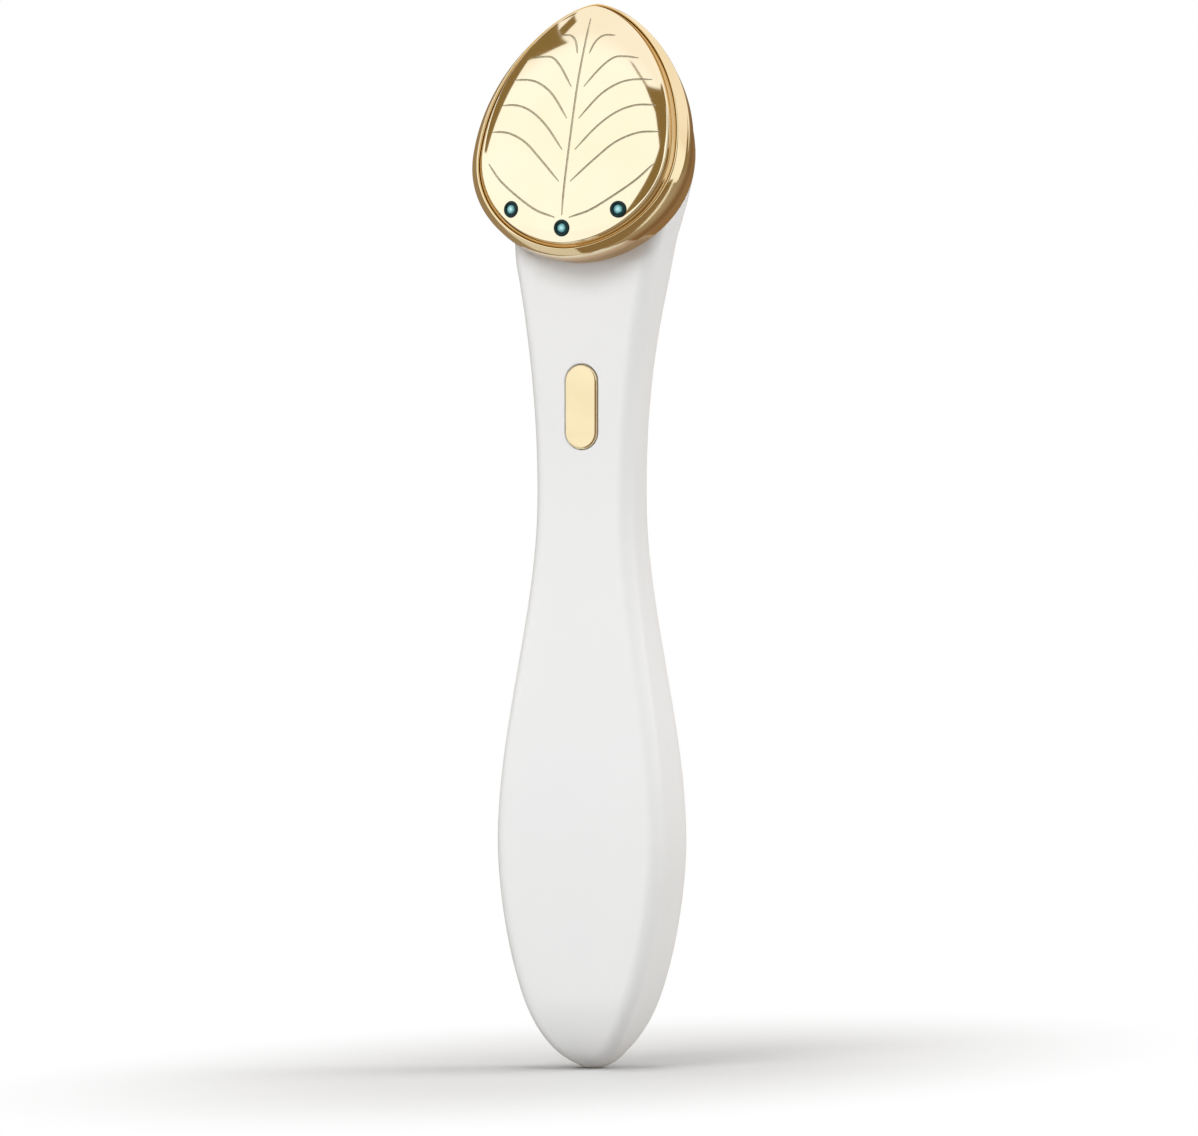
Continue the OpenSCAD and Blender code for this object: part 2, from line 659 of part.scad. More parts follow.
// The ring's section: share of its width, extra inset and height over the crest, from the back round.
ring_section = [[0, 0.35, -ring_depth], [0, 0, 0.4 - ring_depth], [0, 0, -1.15], [0.06, 0, -0.62],
    [0.2, 0, -0.2], [0.4, 0, 0], [0.52, 0, -0.06], [skirt_share, 0, -0.3], [skirt_share, 0, -lip_seat],
    [skirt_share, lip_w, -lip_seat], [skirt_share, lip_w, -ring_depth]];
module head_ring() color("gold") at_head() ring_loft([for (s = ring_section) leaf(s[0], s[1], s[2])]);

module head_collar() color("gold") at_head() difference() {
    union() {
        difference() {
            leaf_block(0, collar_inset, -back_n + fit, -ring_depth - fit);
            leaf_block(skirt_share, lip_w, -back_n + collar_floor, -ring_depth + bite);
        }
        for (p = head_screw_places) translate([p.x, p.y, -back_n + collar_floor - bite])
            rod(post_d, post_top + back_n - collar_floor + bite);
    }
    for (p = head_screw_places) translate([p.x, p.y, -back_n - bite])
        rod(screw_d + 2*fit, head_screw_reach + bite);
    translate([wire_hole.x, wire_hole.y, -back_n - bite]) rod(wire_hole_d, collar_floor + 2*bite);
}

plate_rings = [0.2, 0.4, 0.58, 0.74, 0.87, 0.95];
skirt_in = plate_gap + plate_wall;
module face_plate() color("gold") at_head() difference() {
    loft(concat(
        [for (f = plate_rings) leaf(1, 0, dome(f) - plate_wall, f)],
        [leaf(1, 0.55, edge_rise - 0.55), leaf(skirt_share, skirt_in, -0.6),
         leaf(skirt_share, skirt_in, -lip_seat + fit),
         leaf(skirt_share, plate_gap, -lip_seat + fit), leaf(skirt_share, plate_gap, -0.35),
         leaf(0.7, plate_gap, 0.1), leaf(0.95, 0, edge_rise - 0.15), leaf(1, 0.08, edge_rise + 0.05)],
        [for (i = [len(plate_rings) - 1 : -1 : 0]) leaf(1, 0, dome(plate_rings[i]), plate_rings[i])]));
    for (p = led_places) at_led(p) translate([0, 0, -2.5]) rod(bezel_d + 2*fit, 4);
}

module led_bezels() color("black") at_head() for (p = led_places) at_led(p) difference() {
    translate([0, 0, -1.2]) rod(bezel_d, 1.3);
    translate([0, 0, -2]) rod(lens_d + 2*fit, 4);
}

module led_lenses() color("turquoise") at_head() for (p = led_places) at_led(p)
    translate([0, 0, -lens_l]) rod(lens_d, lens_l + 0.02);

module led_board() color("darkgreen") at_head() intersection() {
    leaf_block(skirt_share, skirt_in + bite, led_board_top - led_board_t + 2*fit, led_board_top);
    translate([-head_w, -head_w - led_board_low, -ring_depth]) cube([2*head_w, head_w, ring_depth]);
}

module led_emitters() color("lightyellow") at_head() for (p = led_places)
    translate([p.x*0.94 - 0.8, p.y*0.94 - 0.6, led_board_top + fit]) cube([1.6, 1.2, emitter_t]);

module heater_film() color("orange") at_head() {
    shares = [for (i = [1 : 5]) 0.2 + (film_share - 0.2)*(i - 1)/4];
    loft(concat([for (f = shares) leaf(1, 0, dome(f) - plate_wall - fit - film_t, f)],
                [for (i = [4 : -1 : 0]) leaf(1, 0, dome(shares[i]) - plate_wall - fit, shares[i])]));
}

module thermistor() color("black") at_head()
    translate([-1.2*bead_d, 4, dome(0) - plate_wall - film_t - bead_d/2 - 3*fit]) rotate([0, 90, 0])
        rod(bead_d, 2.4*bead_d);

module head_insulator() color("dimgray") at_head() difference() {
    leaf_block(skirt_share, skirt_in + 0.1, -lip_seat + fit, -lip_seat + insulator_t);
    translate([wire_hole.x, wire_hole.y + 6, -ring_depth]) rod(wire_hole_d, ring_depth);
}

module head_screws() color("silver") at_head() for (p = head_screw_places)
    translate([p.x, p.y, -back_n - wall - fit]) {
        rod(screw_d, wall + head_screw_reach - 0.5);
        translate([0, 0, -screw_head_t]) rod(screw_head_d, screw_head_t);
    }

// Routes of the wires, each from where it leaves its board.
on_board = board_back + fit + wire_d/2;
guard_y = cell_front + cell_t/2 + board_t/2 + fit + wire_d/2;
guard_top_z = cell_top_z + guard_l;
battery_route = [[0, guard_y, guard_top_z - 1], [0, guard_y, guard_top_z + 0.6],
    [0, on_board, board_low_z - 0.6], [0, on_board, board_low_z + 1]];

// The charge wires run up behind the cell, beside its foam pad.
on_cell = cell_back + fit + wire_d/2;
beside_foam = foam_side + 3*fit + 1.1*wire_d;
charge_route = [[0, charge_back + fit + wire_d/2, charge_high_z - 1.2],
    [0, charge_back + wire_d, charge_high_z - 0.4], [0.6, 1.2, charge_high_z + 0.5], [2, 2.6, cell_z - 1.3],
    [3.6, on_cell + 0.3, cell_z - 0.8], [5.2, on_cell + 0.3, cell_z + 1.2],
    [beside_foam, on_cell, cell_z + 3.4], [beside_foam, on_cell, cell_z + 6],
    [beside_foam, on_cell, cell_z + cell_l/2], [beside_foam, on_cell, cell_top_z - 3.2],
    [beside_foam - 0.6, on_cell, cell_top_z - 1.8],
    [4.4, on_cell, cell_top_z + 0.4], [3.9, on_cell - 0.6, cell_top_z + 2], [3.6, 0.9, guard_top_z + 0.8],
    [3.6, on_board + 0.1, board_low_z - 0.6], [3.6, on_board, board_low_z + 1],
    [3.6, on_board, board_low_z + 3]];
motor_route = [[0, on_board, board_high_z - 0.8], [0, on_board + 0.1, board_high_z - 0.3],
    [0, 0.9, board_high_z + 0.2], [0, motor_back, board_high_z + 0.6], [0, motor_back, motor_z - cap_t - 0.1]];

// The heater's and the lights' wires pass the motor on either side and enter the head through its floor.
neck_route = [[2.4, socket_y, socket_z], [2.4, socket_y, socket_z + 0.6], [3, socket_y, socket_z + 1.6],
    [4.2, 0.9, 109], [5.2, 1.2, 113], [5.4, 1.2, 118], [5, 0.9, 123], [3.4, 0.5, 126.4], [1.6, 0.1, 128.4],
    [0.8, -0.9, 129]];
under_film = dome(0) - plate_wall - film_t - 3*fit;
heater_route = concat(neck_route, [for (p = [[0.7, -5.1, -8], [0.7, -4.2, -5], [0.7, -1.4, -4], [0.6, 0.8, -3],
    [0.6, 1.2, -1], [0.6, 1.2, 0.6], [0.6, 1.2, under_film]]) head_point(p.x, p.y, p.z)]);
light_route = concat([for (p = neck_route) [-p.x, p.y, p.z]], [for (p = [[-0.7, -5.1, -8], [-0.7, -4.2, -5],
    [-0.7, -1.6, -4], [-0.6, 0.3, -3], [-0.6, 0.2, -1.2], [-0.6, -1.4, -0.4], [-0.6, -4, -0.5],
    [-0.6, -6.4, led_board_top + fit + wire_d/2]]) head_point(p.x, p.y, p.z)]);

// A pair of wires that run side by side, with gap between their middles.
function aside(route, i) = let (t = heading(route, i)) unit([-t.z, 0, t.x]);
module wire_pair(route, gap)
    for (s = [-1, 1]) wire([for (i = [0 : len(route) - 1]) route[i] + s*gap/2*aside(route, i)]);

module battery_leads() color("red") in_frame() wire_pair(battery_route, 3);
module charge_leads() color("red") in_frame() wire_pair(charge_route, 1.2*wire_d);
module motor_leads() color("blue") in_frame() wire_pair(motor_route, 1.6);
module heater_leads() color("white") in_frame() wire(heater_route);
module light_leads() color("green") in_frame() wire(light_route);

front_housing();
back_cover();
power_button();
switch_plunger();
switch_body();
main_board();
control_chip();
board_parts();
board_screws();
battery_cell();
battery_foam();
protection_board();
charge_board();
port_shell();
port_tongue();
motor_can();
motor_cap();
motor_sleeve();
motor_weight();
head_ring();
head_collar();
face_plate();
led_bezels();
led_lenses();
led_board();
led_emitters();
heater_film();
thermistor();
head_insulator();
head_screws();
battery_leads();
charge_leads();
motor_leads();
heater_leads();
light_leads();
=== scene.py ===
import bmesh
import bpy
import numpy as np
from math import radians
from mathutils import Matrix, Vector


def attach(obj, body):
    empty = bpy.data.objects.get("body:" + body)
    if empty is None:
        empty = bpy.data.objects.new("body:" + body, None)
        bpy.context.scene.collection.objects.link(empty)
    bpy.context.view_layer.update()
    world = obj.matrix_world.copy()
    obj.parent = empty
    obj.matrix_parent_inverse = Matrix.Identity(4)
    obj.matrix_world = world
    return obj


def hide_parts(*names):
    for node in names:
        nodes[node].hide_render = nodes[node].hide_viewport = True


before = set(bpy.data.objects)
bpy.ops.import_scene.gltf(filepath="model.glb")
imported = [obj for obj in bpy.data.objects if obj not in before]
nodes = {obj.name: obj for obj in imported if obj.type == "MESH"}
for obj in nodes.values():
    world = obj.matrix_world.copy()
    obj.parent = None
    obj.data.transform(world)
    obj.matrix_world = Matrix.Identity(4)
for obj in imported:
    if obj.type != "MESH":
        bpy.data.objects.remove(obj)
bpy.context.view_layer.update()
mm = 0.001
midY = 1.6          # the handle's middle plane, mm; every length below is in mm
print("frame loaded:", len(nodes), "nodes")


class Wire:
    # one output of a node; + - * on it add Math nodes
    def __init__(self, tree, socket=None):
        self.tree, self.socket = tree, socket

    def node(self, kind, settings, inputs, output=0):
        made = self.tree.nodes.new(kind)
        for name, value in settings.items():
            if name == "stops":
                ramp = made.color_ramp
                for place, colour in value[len(ramp.elements):]:
                    ramp.elements.new(place)
                for element, (place, colour) in zip(ramp.elements, value):
                    element.position, element.color = place, colour
            else:
                setattr(made, name, value)
        for name, value in inputs.items():
            if isinstance(value, Wire):
                self.tree.links.new(value.socket, made.inputs[name])
            else:
                made.inputs[name].default_value = value
        return Wire(self.tree, made.outputs[output] if made.outputs else None)

    def math(self, operation, *values):
        return self.node("ShaderNodeMath", {"operation": operation}, dict(enumerate(values)))

    def __add__(self, other):
        return self.math("ADD", self, other)

    def __sub__(self, other):
        return self.math("SUBTRACT", self, other)

    def __rsub__(self, other):
        return self.math("SUBTRACT", other, self)

    def __mul__(self, other):
        return self.math("MULTIPLY", self, other)

    def step(self, low, high):
        # 0 below low, 1 above high, smooth between
        return self.node("ShaderNodeMapRange", {"interpolation_type": "SMOOTHSTEP"},
                         {"Value": self, "From Min": low, "From Max": high})

    def between(self, low, high, soft):
        return self.step(low - soft, low + soft) * (1 - self.step(high - soft, high + soft))

    def tint(self, first, second):
        # first where this is 0, second where it is 1
        return self.node("ShaderNodeMix", {"data_type": "RGBA"}, {0: self, 6: first, 7: second}, 2)


def rgb(red, green, blue):
    return (red, green, blue, 1.0)


def newMaterial(name):
    material = bpy.data.materials.new(name)
    material.use_nodes = True
    material.node_tree.nodes.clear()
    return material, Wire(material.node_tree)


def finishWith(wire, shader):
    wire.node("ShaderNodeOutputMaterial", {}, {"Surface": shader})


def split(wire, vector):
    made = wire.tree.nodes.new("ShaderNodeSeparateXYZ")
    wire.tree.links.new(vector.socket, made.inputs[0])
    return [Wire(wire.tree, made.outputs[k]) for k in range(3)]


def noise(wire, place, size, detail=2.0, rough=0.5):
    # size is the width of one patch in mm
    return wire.node("ShaderNodeTexNoise", {}, {"Vector": place, "Scale": 1 / (size * mm),
                                                "Detail": detail, "Roughness": rough})


def positionOn(wire, kind="Object"):
    return wire.node("ShaderNodeTexCoord", {}, {}, kind)


def twoShades(cloud, first, second):
    return cloud.step(0.3, 0.7).tint(rgb(*first), rgb(*second))


def bumpFrom(wire, height, strength, deep):
    # deep is in mm
    return wire.node("ShaderNodeBump", {}, {"Strength": strength, "Distance": deep * mm, "Height": height})


def simpleFinish(name, colour, other, rough, metallic=0.0, size=1.5, dent=0.004, coat=0.0, shine=0.5):
    # two shades that drift into each other, a roughness that follows, and a fine surface
    material, wire = newMaterial(name)
    place = positionOn(wire)
    drift, fine = noise(wire, place, size, 3.0), noise(wire, place, size / 8)
    finishWith(wire, wire.node("ShaderNodeBsdfPrincipled", {}, {
        "Base Color": twoShades(drift, colour, other), "Roughness": drift * 0.06 + (rough - 0.03),
        "Metallic": metallic, "Coat Weight": coat, "Specular IOR Level": shine,
        "Normal": bumpFrom(wire, fine, 0.35, dent)}))
    return material


def gridFaces(rows, across, closedAlong=False):
    # quads between neighbouring rows of a grid whose rows are closed
    i, j = np.meshgrid(np.arange(rows if closedAlong else rows - 1), np.arange(across), indexing="ij")
    k, m = (i + 1) % rows, (j + 1) % across
    return np.stack([i * across + j, i * across + m, k * across + m, k * across + j], -1).reshape(-1, 4)


def solid(name, rings, finish, closedAlong=False):
    # rings: rows x points x 3, in mm; a closed surface through them, its ends capped unless they meet
    rows, across = rings.shape[:2]
    faces = gridFaces(rows, across, closedAlong).tolist()
    if not closedAlong:
        faces += [list(range(across)), list(range((rows - 1) * across, rows * across))]
    mesh = bpy.data.meshes.new(name)
    mesh.from_pydata((rings.reshape(-1, 3) * mm).tolist(), [], faces)
    shape = bmesh.new()
    shape.from_mesh(mesh)
    bmesh.ops.recalc_face_normals(shape, faces=shape.faces)
    if shape.calc_volume(signed=True) < 0:
        bmesh.ops.reverse_faces(shape, faces=shape.faces)
    shape.to_mesh(mesh)
    shape.free()
    mesh.materials.append(finish)
    piece = bpy.data.objects.new(name, mesh)
    bpy.context.scene.collection.objects.link(piece)
    return piece


def block(name, low, high, finish):
    (x0, y0, z0), (x1, y1, z1) = low, high
    ring = np.array([[x0, y0], [x1, y0], [x1, y1], [x0, y1]], float)
    rings = np.stack([np.column_stack([ring, np.full(4, z)]) for z in (z0, z1)])
    return solid(name, rings, finish)


def twin(piece, name):
    other = piece.copy()
    other.data = piece.data.copy()
    other.name = name
    bpy.context.scene.collection.objects.link(other)
    return other


def combine(piece, tool, operation="DIFFERENCE"):
    step = piece.modifiers.new("cut", "BOOLEAN")
    step.object, step.operation, step.solver, step.material_mode = tool, operation, "EXACT", "TRANSFER"
    bpy.context.view_layer.update()
    seen = piece.evaluated_get(bpy.context.evaluated_depsgraph_get())
    mesh = bpy.data.meshes.new_from_object(seen)
    piece.modifiers.clear()
    old, piece.data = piece.data, mesh
    bpy.data.meshes.remove(old)
    bpy.data.objects.remove(tool)
    return piece


def settle(piece, body, replaced, crease=32):
    # smooth shading with the creases kept sharp, then its body and the nodes it stands for
    mesh = piece.data
    mesh.name = piece.name
    mesh.shade_smooth()
    mesh.set_sharp_from_angle(angle=radians(crease))
    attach(piece, body)
    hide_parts(*replaced)
    print("made", piece.name, len(mesh.polygons), "faces")
    return piece


def smoothPath(points, perSpan=12):
    # Catmull-Rom: on each span a cubic through its two points, with slopes from their neighbours
    p = np.asarray(points, float)
    p = np.vstack([2 * p[0] - p[1], p, 2 * p[-1] - p[-2]])
    t = np.linspace(0, 1, perSpan, endpoint=False)[None, :, None]
    a, b, c, d = (p[k:len(p) - 3 + k][:, None, :] for k in range(4))
    curve = 0.5 * (2 * b + (c - a) * t + (2 * a - 5 * b + 4 * c - d) * t**2
                   + (3 * b - a - 3 * c + d) * t**3)
    return np.vstack([curve.reshape(-1, p.shape[1]), p[-2]])


def softened(corners, reach, closed=False, steps=5):
    # rows of share, inset, n; each corner becomes a parabola that starts and ends reach mm away from it
    p = np.asarray(corners, float)
    back, on = np.roll(p, 1, 0) - p, np.roll(p, -1, 0) - p
    flat = lambda v: np.maximum(np.hypot(v[:, 0] * head["ringSide"] + v[:, 1], v[:, 2]), 1e-6)[:, None]
    first = p + back * np.minimum(0.45, reach / flat(back))
    last = p + on * np.minimum(0.45, reach / flat(on))
    t = np.linspace(0, 1, steps)[None, :, None]
    curve = (1 - t)**2 * first[:, None] + 2 * t * (1 - t) * p[:, None] + t**2 * last[:, None]
    if closed:
        return curve.reshape(-1, p.shape[1])
    return np.vstack([p[:1], curve[1:-1].reshape(-1, p.shape[1]), p[-1:]])


handle = {"gripWide": 26.9, "gripZ": 34, "gripThick": 14.6, "tipZ": 11.4, "tipPower": 1.7,
          "tipSidePower": 2.2, "tipFlat": 0.05, "waistWide": 15.6, "waistZ": 85, "waistThick": 10.4,
          "thinZ": 96, "neckWide": 23.9, "neckZ": 124, "neckBack": 2.7, "neckBlend": 2,
          "frontRound": 2.4, "backRound": 4.6, "leastRound": 0.25, "frontShare": 0.45, "backShare": 0.5,
          "sideShare": 0.9, "wall": 1.5, "solidTip": 2.8, "solidTop": 3.3, "spoonInset": 2.1,
          "spoonRound": 7.5, "spoonRise": 4, "spoonBend": 1.3, "spoonFull": 0.6, "seatRound": 0.6,
          "topCut": 0.15, "levels": 230, "corner": 12, "hollowLevels": 72, "hollowCorner": 7}
head = {"wide": 34.7, "below": 15.9, "above": 24.9, "leafPower": 1.26, "footPower": 1.08, "tilt": 20,
        "z": 137.2, "reach": 7.1, "ringDepth": 3.9, "ringSide": 2.7, "ringFoot": 1.5, "ringTip": 1.8,
        "ringRound": 0.22, "tipSlope": 0.5, "tipInset": 1.1, "lipWide": 1.6, "lipSeat": 2.4,
        "collarInset": 1.05, "collarDepth": 3.4, "collarFloor": 1.4, "collarRound": 0.25,
        "screwSide": 7.5, "screwHole": 2, "postWide": 4.4, "drillWide": 1.66, "drillStop": 0.6,
        "wireHole": 4, "wireHoleDrop": 5, "skirtShare": 0.6, "around": 240}
headCos, headSin = np.cos(radians(head["tilt"])), np.sin(radians(head["tilt"]))
backDepth = head["ringDepth"] + head["collarDepth"]
# the middle of the slanted wall behind the head, and where the handle's back ends on it
planeY = -head["reach"] + backDepth * headCos
planeZ = head["z"] - backDepth * headSin
spoonHalf = head["wide"] / 2 - head["collarInset"] - handle["spoonInset"]
spoonAbove = (head["above"] - head["tipInset"] * head["collarInset"] - handle["spoonInset"]
              - head["tipSlope"] * backDepth)
topZ = planeZ + spoonAbove * headCos
spoonZ = handle["neckZ"] + handle["spoonRise"]
fit = 0.03          # gap between pieces that seat on each other
bite = 0.4          # how far a cutting tool reaches past a surface

plastic = {"colour": (0.862, 0.864, 0.866), "warm": (0.874, 0.872, 0.866), "rough": 0.34, "cloud": 30,
           "grain": 0.22}
whitePlastic, wire = newMaterial("whitePlastic")
place = positionOn(wire)
cloud, grain = noise(wire, place, plastic["cloud"]), noise(wire, place, plastic["grain"], 2.0, 0.6)
finishWith(wire, wire.node("ShaderNodeBsdfPrincipled", {}, {
    "Base Color": twoShades(cloud, plastic["colour"], plastic["warm"]),
    "Roughness": cloud * 0.06 + grain * 0.04 + (plastic["rough"] - 0.05),
    "Normal": bumpFrom(wire, grain, 0.12, 0.004)}))


def platedMetal(name, shades, cloudSize, hazeSize, strength, paintedShade=None):
    # polished plating in two close shades; where the last argument is given, a darker colour painted as
    # shade starts between two heights over the face's edge, in mm
    material, wire = newMaterial(name)
    place = positionOn(wire)
    cloud, haze = noise(wire, place, cloudSize), noise(wire, place, hazeSize, 3.0, 0.6)
    colour = twoShades(cloud, shades["deep"], shades["pale"])
    if paintedShade:
        y, z = split(wire, place)[1:]
        edge = head["z"] * headSin + (head["reach"] - midY) * headCos
        out = z * (headSin / mm) - y * (headCos / mm) - edge
        colour = out.step(paintedShade["low"], paintedShade["high"]).tint(rgb(*paintedShade["colour"]), colour)
    finishWith(wire, wire.node("ShaderNodeBsdfPrincipled", {}, {
        "Base Color": colour, "Metallic": 1.0, "Roughness": haze * 0.04 + (shades["rough"] - 0.02),
        "Normal": bumpFrom(wire, cloud, strength, 0.01)}))
    return material


gold = {"deep": (0.87, 0.75, 0.52), "pale": (0.91, 0.80, 0.58), "rough": 0.08}
plateGold = {"deep": (0.95, 0.88, 0.70), "pale": (0.96, 0.91, 0.77), "rough": 0.05}
# the collar under the head has the same gold plating painted darker: a painted shade
collarShadedGold = {"deep": (0.70, 0.48, 0.26), "pale": (0.76, 0.54, 0.31), "rough": 0.12}
# the plate below its rounded edge, its skirt and the valley at the ring, is painted darker: a painted shade
# in the groove
plateValleyPaintedShade = {"low": 0.55, "high": 0.85, "colour": (0.66, 0.49, 0.27)}
# the ring's rear part, from 1.5 to 2.6 mm behind the face's edge onwards, is painted darker: a painted
# shade
ringBackPaintedShade = {"low": -2.6, "high": -1.5, "colour": (0.58, 0.38, 0.20)}
goldPlating = platedMetal("goldPlating", gold, 9, 0.6, 0.10)
facePolish = platedMetal("facePolish", plateGold, 14, 0.5, 0.08, plateValleyPaintedShade)
ringPlating = platedMetal("ringPlating", gold, 9, 0.6, 0.10, ringBackPaintedShade)
collarShadePlating = platedMetal("collarShadePlating", collarShadedGold, 9, 0.6, 0.10)
engraved = simpleFinish("engravedLine", (0.40, 0.36, 0.25), (0.50, 0.45, 0.33), 0.55, metallic=0.2,
                        size=0.8)
ringGloss = simpleFinish("lightRingGloss", (0.002, 0.018, 0.020), (0.004, 0.028, 0.030), 0.25, size=0.6,
                         dent=0.001, shine=0.22)

# the lens is palest in its middle and nearly black at its rim: a painted glow and a painted shade; "radial"
# runs from 0 there to 1 at its rim
lensPaintedGlow, wire = newMaterial("lensPaintedGlow")
radial = wire.node("ShaderNodeAttribute", {"attribute_name": "radial"}, {}, "Fac")
swirl = noise(wire, positionOn(wire), 0.4)
depth = radial + (swirl - 0.5) * 0.3
teal = wire.node("ShaderNodeValToRGB", {"stops": [
    (0.0, rgb(0.60, 0.86, 0.90)), (0.3, rgb(0.34, 0.72, 0.74)), (0.65, rgb(0.10, 0.36, 0.38)),
    (0.95, rgb(0.01, 0.07, 0.08))]}, {"Fac": depth})
finishWith(wire, wire.node("ShaderNodeBsdfPrincipled", {}, {
    "Base Color": teal, "Roughness": swirl * 0.04 + 0.1, "Coat Weight": 0.6}))
print("finishes of the outside ready")


def ease(t):
    u = np.clip(t, 0, 1)
    return u * u * (3 - 2 * u)


def softMin(a, b, k):
    h = np.maximum(k - np.abs(a - b), 0) / k
    return np.minimum(a, b) - h * h * k / 4


def roundTip(z, end, power):
    # from 0 at the tip to 1 at the height where the rounding ends
    flat = handle["tipFlat"]
    return np.sqrt(np.maximum(0, 1 - np.maximum(0, 1 - (z + flat) / (end + flat))**power))


def halfWide(z):
    # half the width seen from the front: a rounded tip, a long ease to the waist, then the flare under
    # the head, held inside the leaf shape of the head's back
    h = handle
    tip = h["gripWide"] / 2 * roundTip(z, h["gripZ"], h["tipPower"])
    down = ease((z - h["gripZ"]) / (h["waistZ"] - h["gripZ"]))
    waist = h["gripWide"] / 2 + (h["waistWide"] - h["gripWide"]) / 2 * down
    up = (z - h["waistZ"]) / (h["neckZ"] - h["waistZ"])
    flare = h["waistWide"] / 2 + (h["neckWide"] - h["waistWide"]) / 2 * up**2
    v = (z - planeZ) / headCos / spoonAbove
    leafSide = spoonHalf * np.maximum(0, 1 - np.maximum(v, 0)**2)**(head["leafPower"] / 2)
    neck = softMin(flare, leafSide, h["neckBlend"])
    return np.where(z < h["gripZ"], tip, np.where(z < h["waistZ"], waist, neck))


def thickness(z):
    h = handle
    tip = h["gripThick"] * roundTip(z, h["tipZ"], h["tipSidePower"])
    thin = ease((z - h["gripZ"]) / (h["thinZ"] - h["gripZ"]))
    return np.where(z < h["tipZ"], tip, h["gripThick"] + (h["waistThick"] - h["gripThick"]) * thin)


def slantAt(z):
    return planeY + (z - planeZ) * headSin / headCos


def frontY(z):
    return np.maximum(-thickness(z) / 2, np.where(z > handle["thinZ"], slantAt(z), -handle["gripThick"]))


def neckY(z):
    swell = handle["neckBack"] * ((z - handle["thinZ"]) / (handle["neckZ"] - handle["thinZ"]))**2
    return thickness(z) / 2 + np.where(z > handle["thinZ"], swell, 0)


def backY(z):
    # the back curves forward behind the head until it meets the slanted front
    u = np.clip((z - spoonZ) / (topZ - spoonZ), 0, 1)
    deep = neckY(spoonZ) - slantAt(spoonZ)
    spoon = slantAt(z) + deep * np.maximum(0, 1 - u**handle["spoonBend"])**handle["spoonFull"]
    return np.where(z < spoonZ, neckY(z), spoon)


def cornerRound(radius, z, inset, share):
    # never more than the width and the depth there have room for
    room = np.minimum(handle["sideShare"] * (halfWide(z) - inset), share * (backY(z) - frontY(z)) - inset)
    return np.maximum(handle["leastRound"], np.minimum(radius - inset, room))


def backCorner(z, inset):
    radius = handle["backRound"] + (handle["spoonRound"] - handle["backRound"]) * ease(
        (z - handle["neckZ"] + 2 * handle["spoonRise"]) / spoonAbove)
    return cornerRound(radius, z, inset, handle["backShare"])


def frontCorner(z, inset):
    radius = handle["frontRound"] + (handle["seatRound"] - handle["frontRound"]) * ease(
        (z - handle["neckZ"]) / (2 * handle["spoonRise"]))
    return cornerRound(radius, z, inset, handle["frontShare"])


def handleRings(z, inset, corner, along=6):
    # at each height a box with rounded corners: four quarter circles, with even points between them
    z = np.asarray(z, float)
    a, b = halfWide(z) - inset, backY(z) - inset
    slanted = (z > handle["thinZ"]) & (slantAt(z) > -thickness(z) / 2)
    f = frontY(z) + np.where(slanted, inset / headCos, inset)
    rf, rb = frontCorner(z, inset), backCorner(z, inset)
    turn = np.linspace(0, np.pi / 2, corner + 1)
    arcs = []
    for cx, cy, r, start in ((a - rb, b - rb, rb, 0), (rb - a, b - rb, rb, 1), (rf - a, f + rf, rf, 2),
                             (a - rf, f + rf, rf, 3)):
        angle = turn[None, :] + start * np.pi / 2
        arcs.append(np.stack([cx[:, None] + r[:, None] * np.cos(angle),
                              cy[:, None] + r[:, None] * np.sin(angle)], -1))
    share = np.linspace(0, 1, along + 2)[1:-1][None, :, None]
    parts = []
    for k in range(4):
        ends = arcs[k][:, -1:], arcs[(k + 1) % 4][:, :1]
        parts += [arcs[k], ends[0] * (1 - share) + ends[1] * share]
    flat = np.concatenate(parts, 1)
    height = np.broadcast_to(z[:, None, None], flat.shape[:2] + (1,))
    return np.concatenate([flat + [0, midY], height], -1)


def handleHeights(count):
    # close together at the tip and at the top
    grip, top = handle["gripZ"], topZ - handle["topCut"]
    tip = grip * (1 - np.cos(np.linspace(0, np.pi / 2, count // 3)))
    middle = np.linspace(grip, spoonZ, count // 2)[1:]
    spoon = spoonZ + (top - spoonZ) * np.sin(np.linspace(0, np.pi / 2, count // 6)[1:])
    return np.concatenate([tip, middle, spoon])


cover = {"lowZ": 7, "highZ": 143, "end": 9, "edgeShare": 0.5, "least": 0.05, "clear": 0.8, "gap": 0.12,
         "hookLong": 4, "hookThick": 0.9, "hookReach": 2.75, "barb": 0.5, "barbHigh": 0.9,
         "hookZ": (42.2, 66.1, 88, 110)}


def coverHalf(z, inset):
    # the cover follows the back's edge and closes in round ends
    side = halfWide(z) - cover["edgeShare"] * backCorner(z, 0) - inset
    low, high = cover["lowZ"] + inset, cover["highZ"] - inset
    u = np.maximum(0, np.maximum(1 - (z - low) / cover["end"], 1 - (high - z) / cover["end"]))
    return side * np.sqrt(np.maximum(0, 1 - u * u))


def coverBlock(name, inset, finish):
    # the cover's space: as wide as coverHalf, from a line that clears the slanted wall to behind the back
    low, high = cover["lowZ"] + inset, cover["highZ"] - inset
    bend = 1 - np.cos(np.linspace(0, np.pi / 2, 22))
    between = np.linspace(low + cover["end"], high - cover["end"], 120)[1:-1]
    z = np.concatenate([low + cover["end"] * bend, between, high - cover["end"] * bend[::-1]])
    clear = handle["wall"] / headCos + cover["clear"]
    half, near = coverHalf(z, inset) + cover["least"], np.maximum(0, slantAt(z) + clear)
    far = np.full_like(z, handle["gripThick"])
    rings = np.stack([np.stack([side * half, depth + midY, z], -1)
                      for side, depth in ((-1, near), (1, near), (1, far), (-1, far))], 1)
    return solid(name, rings, finish)


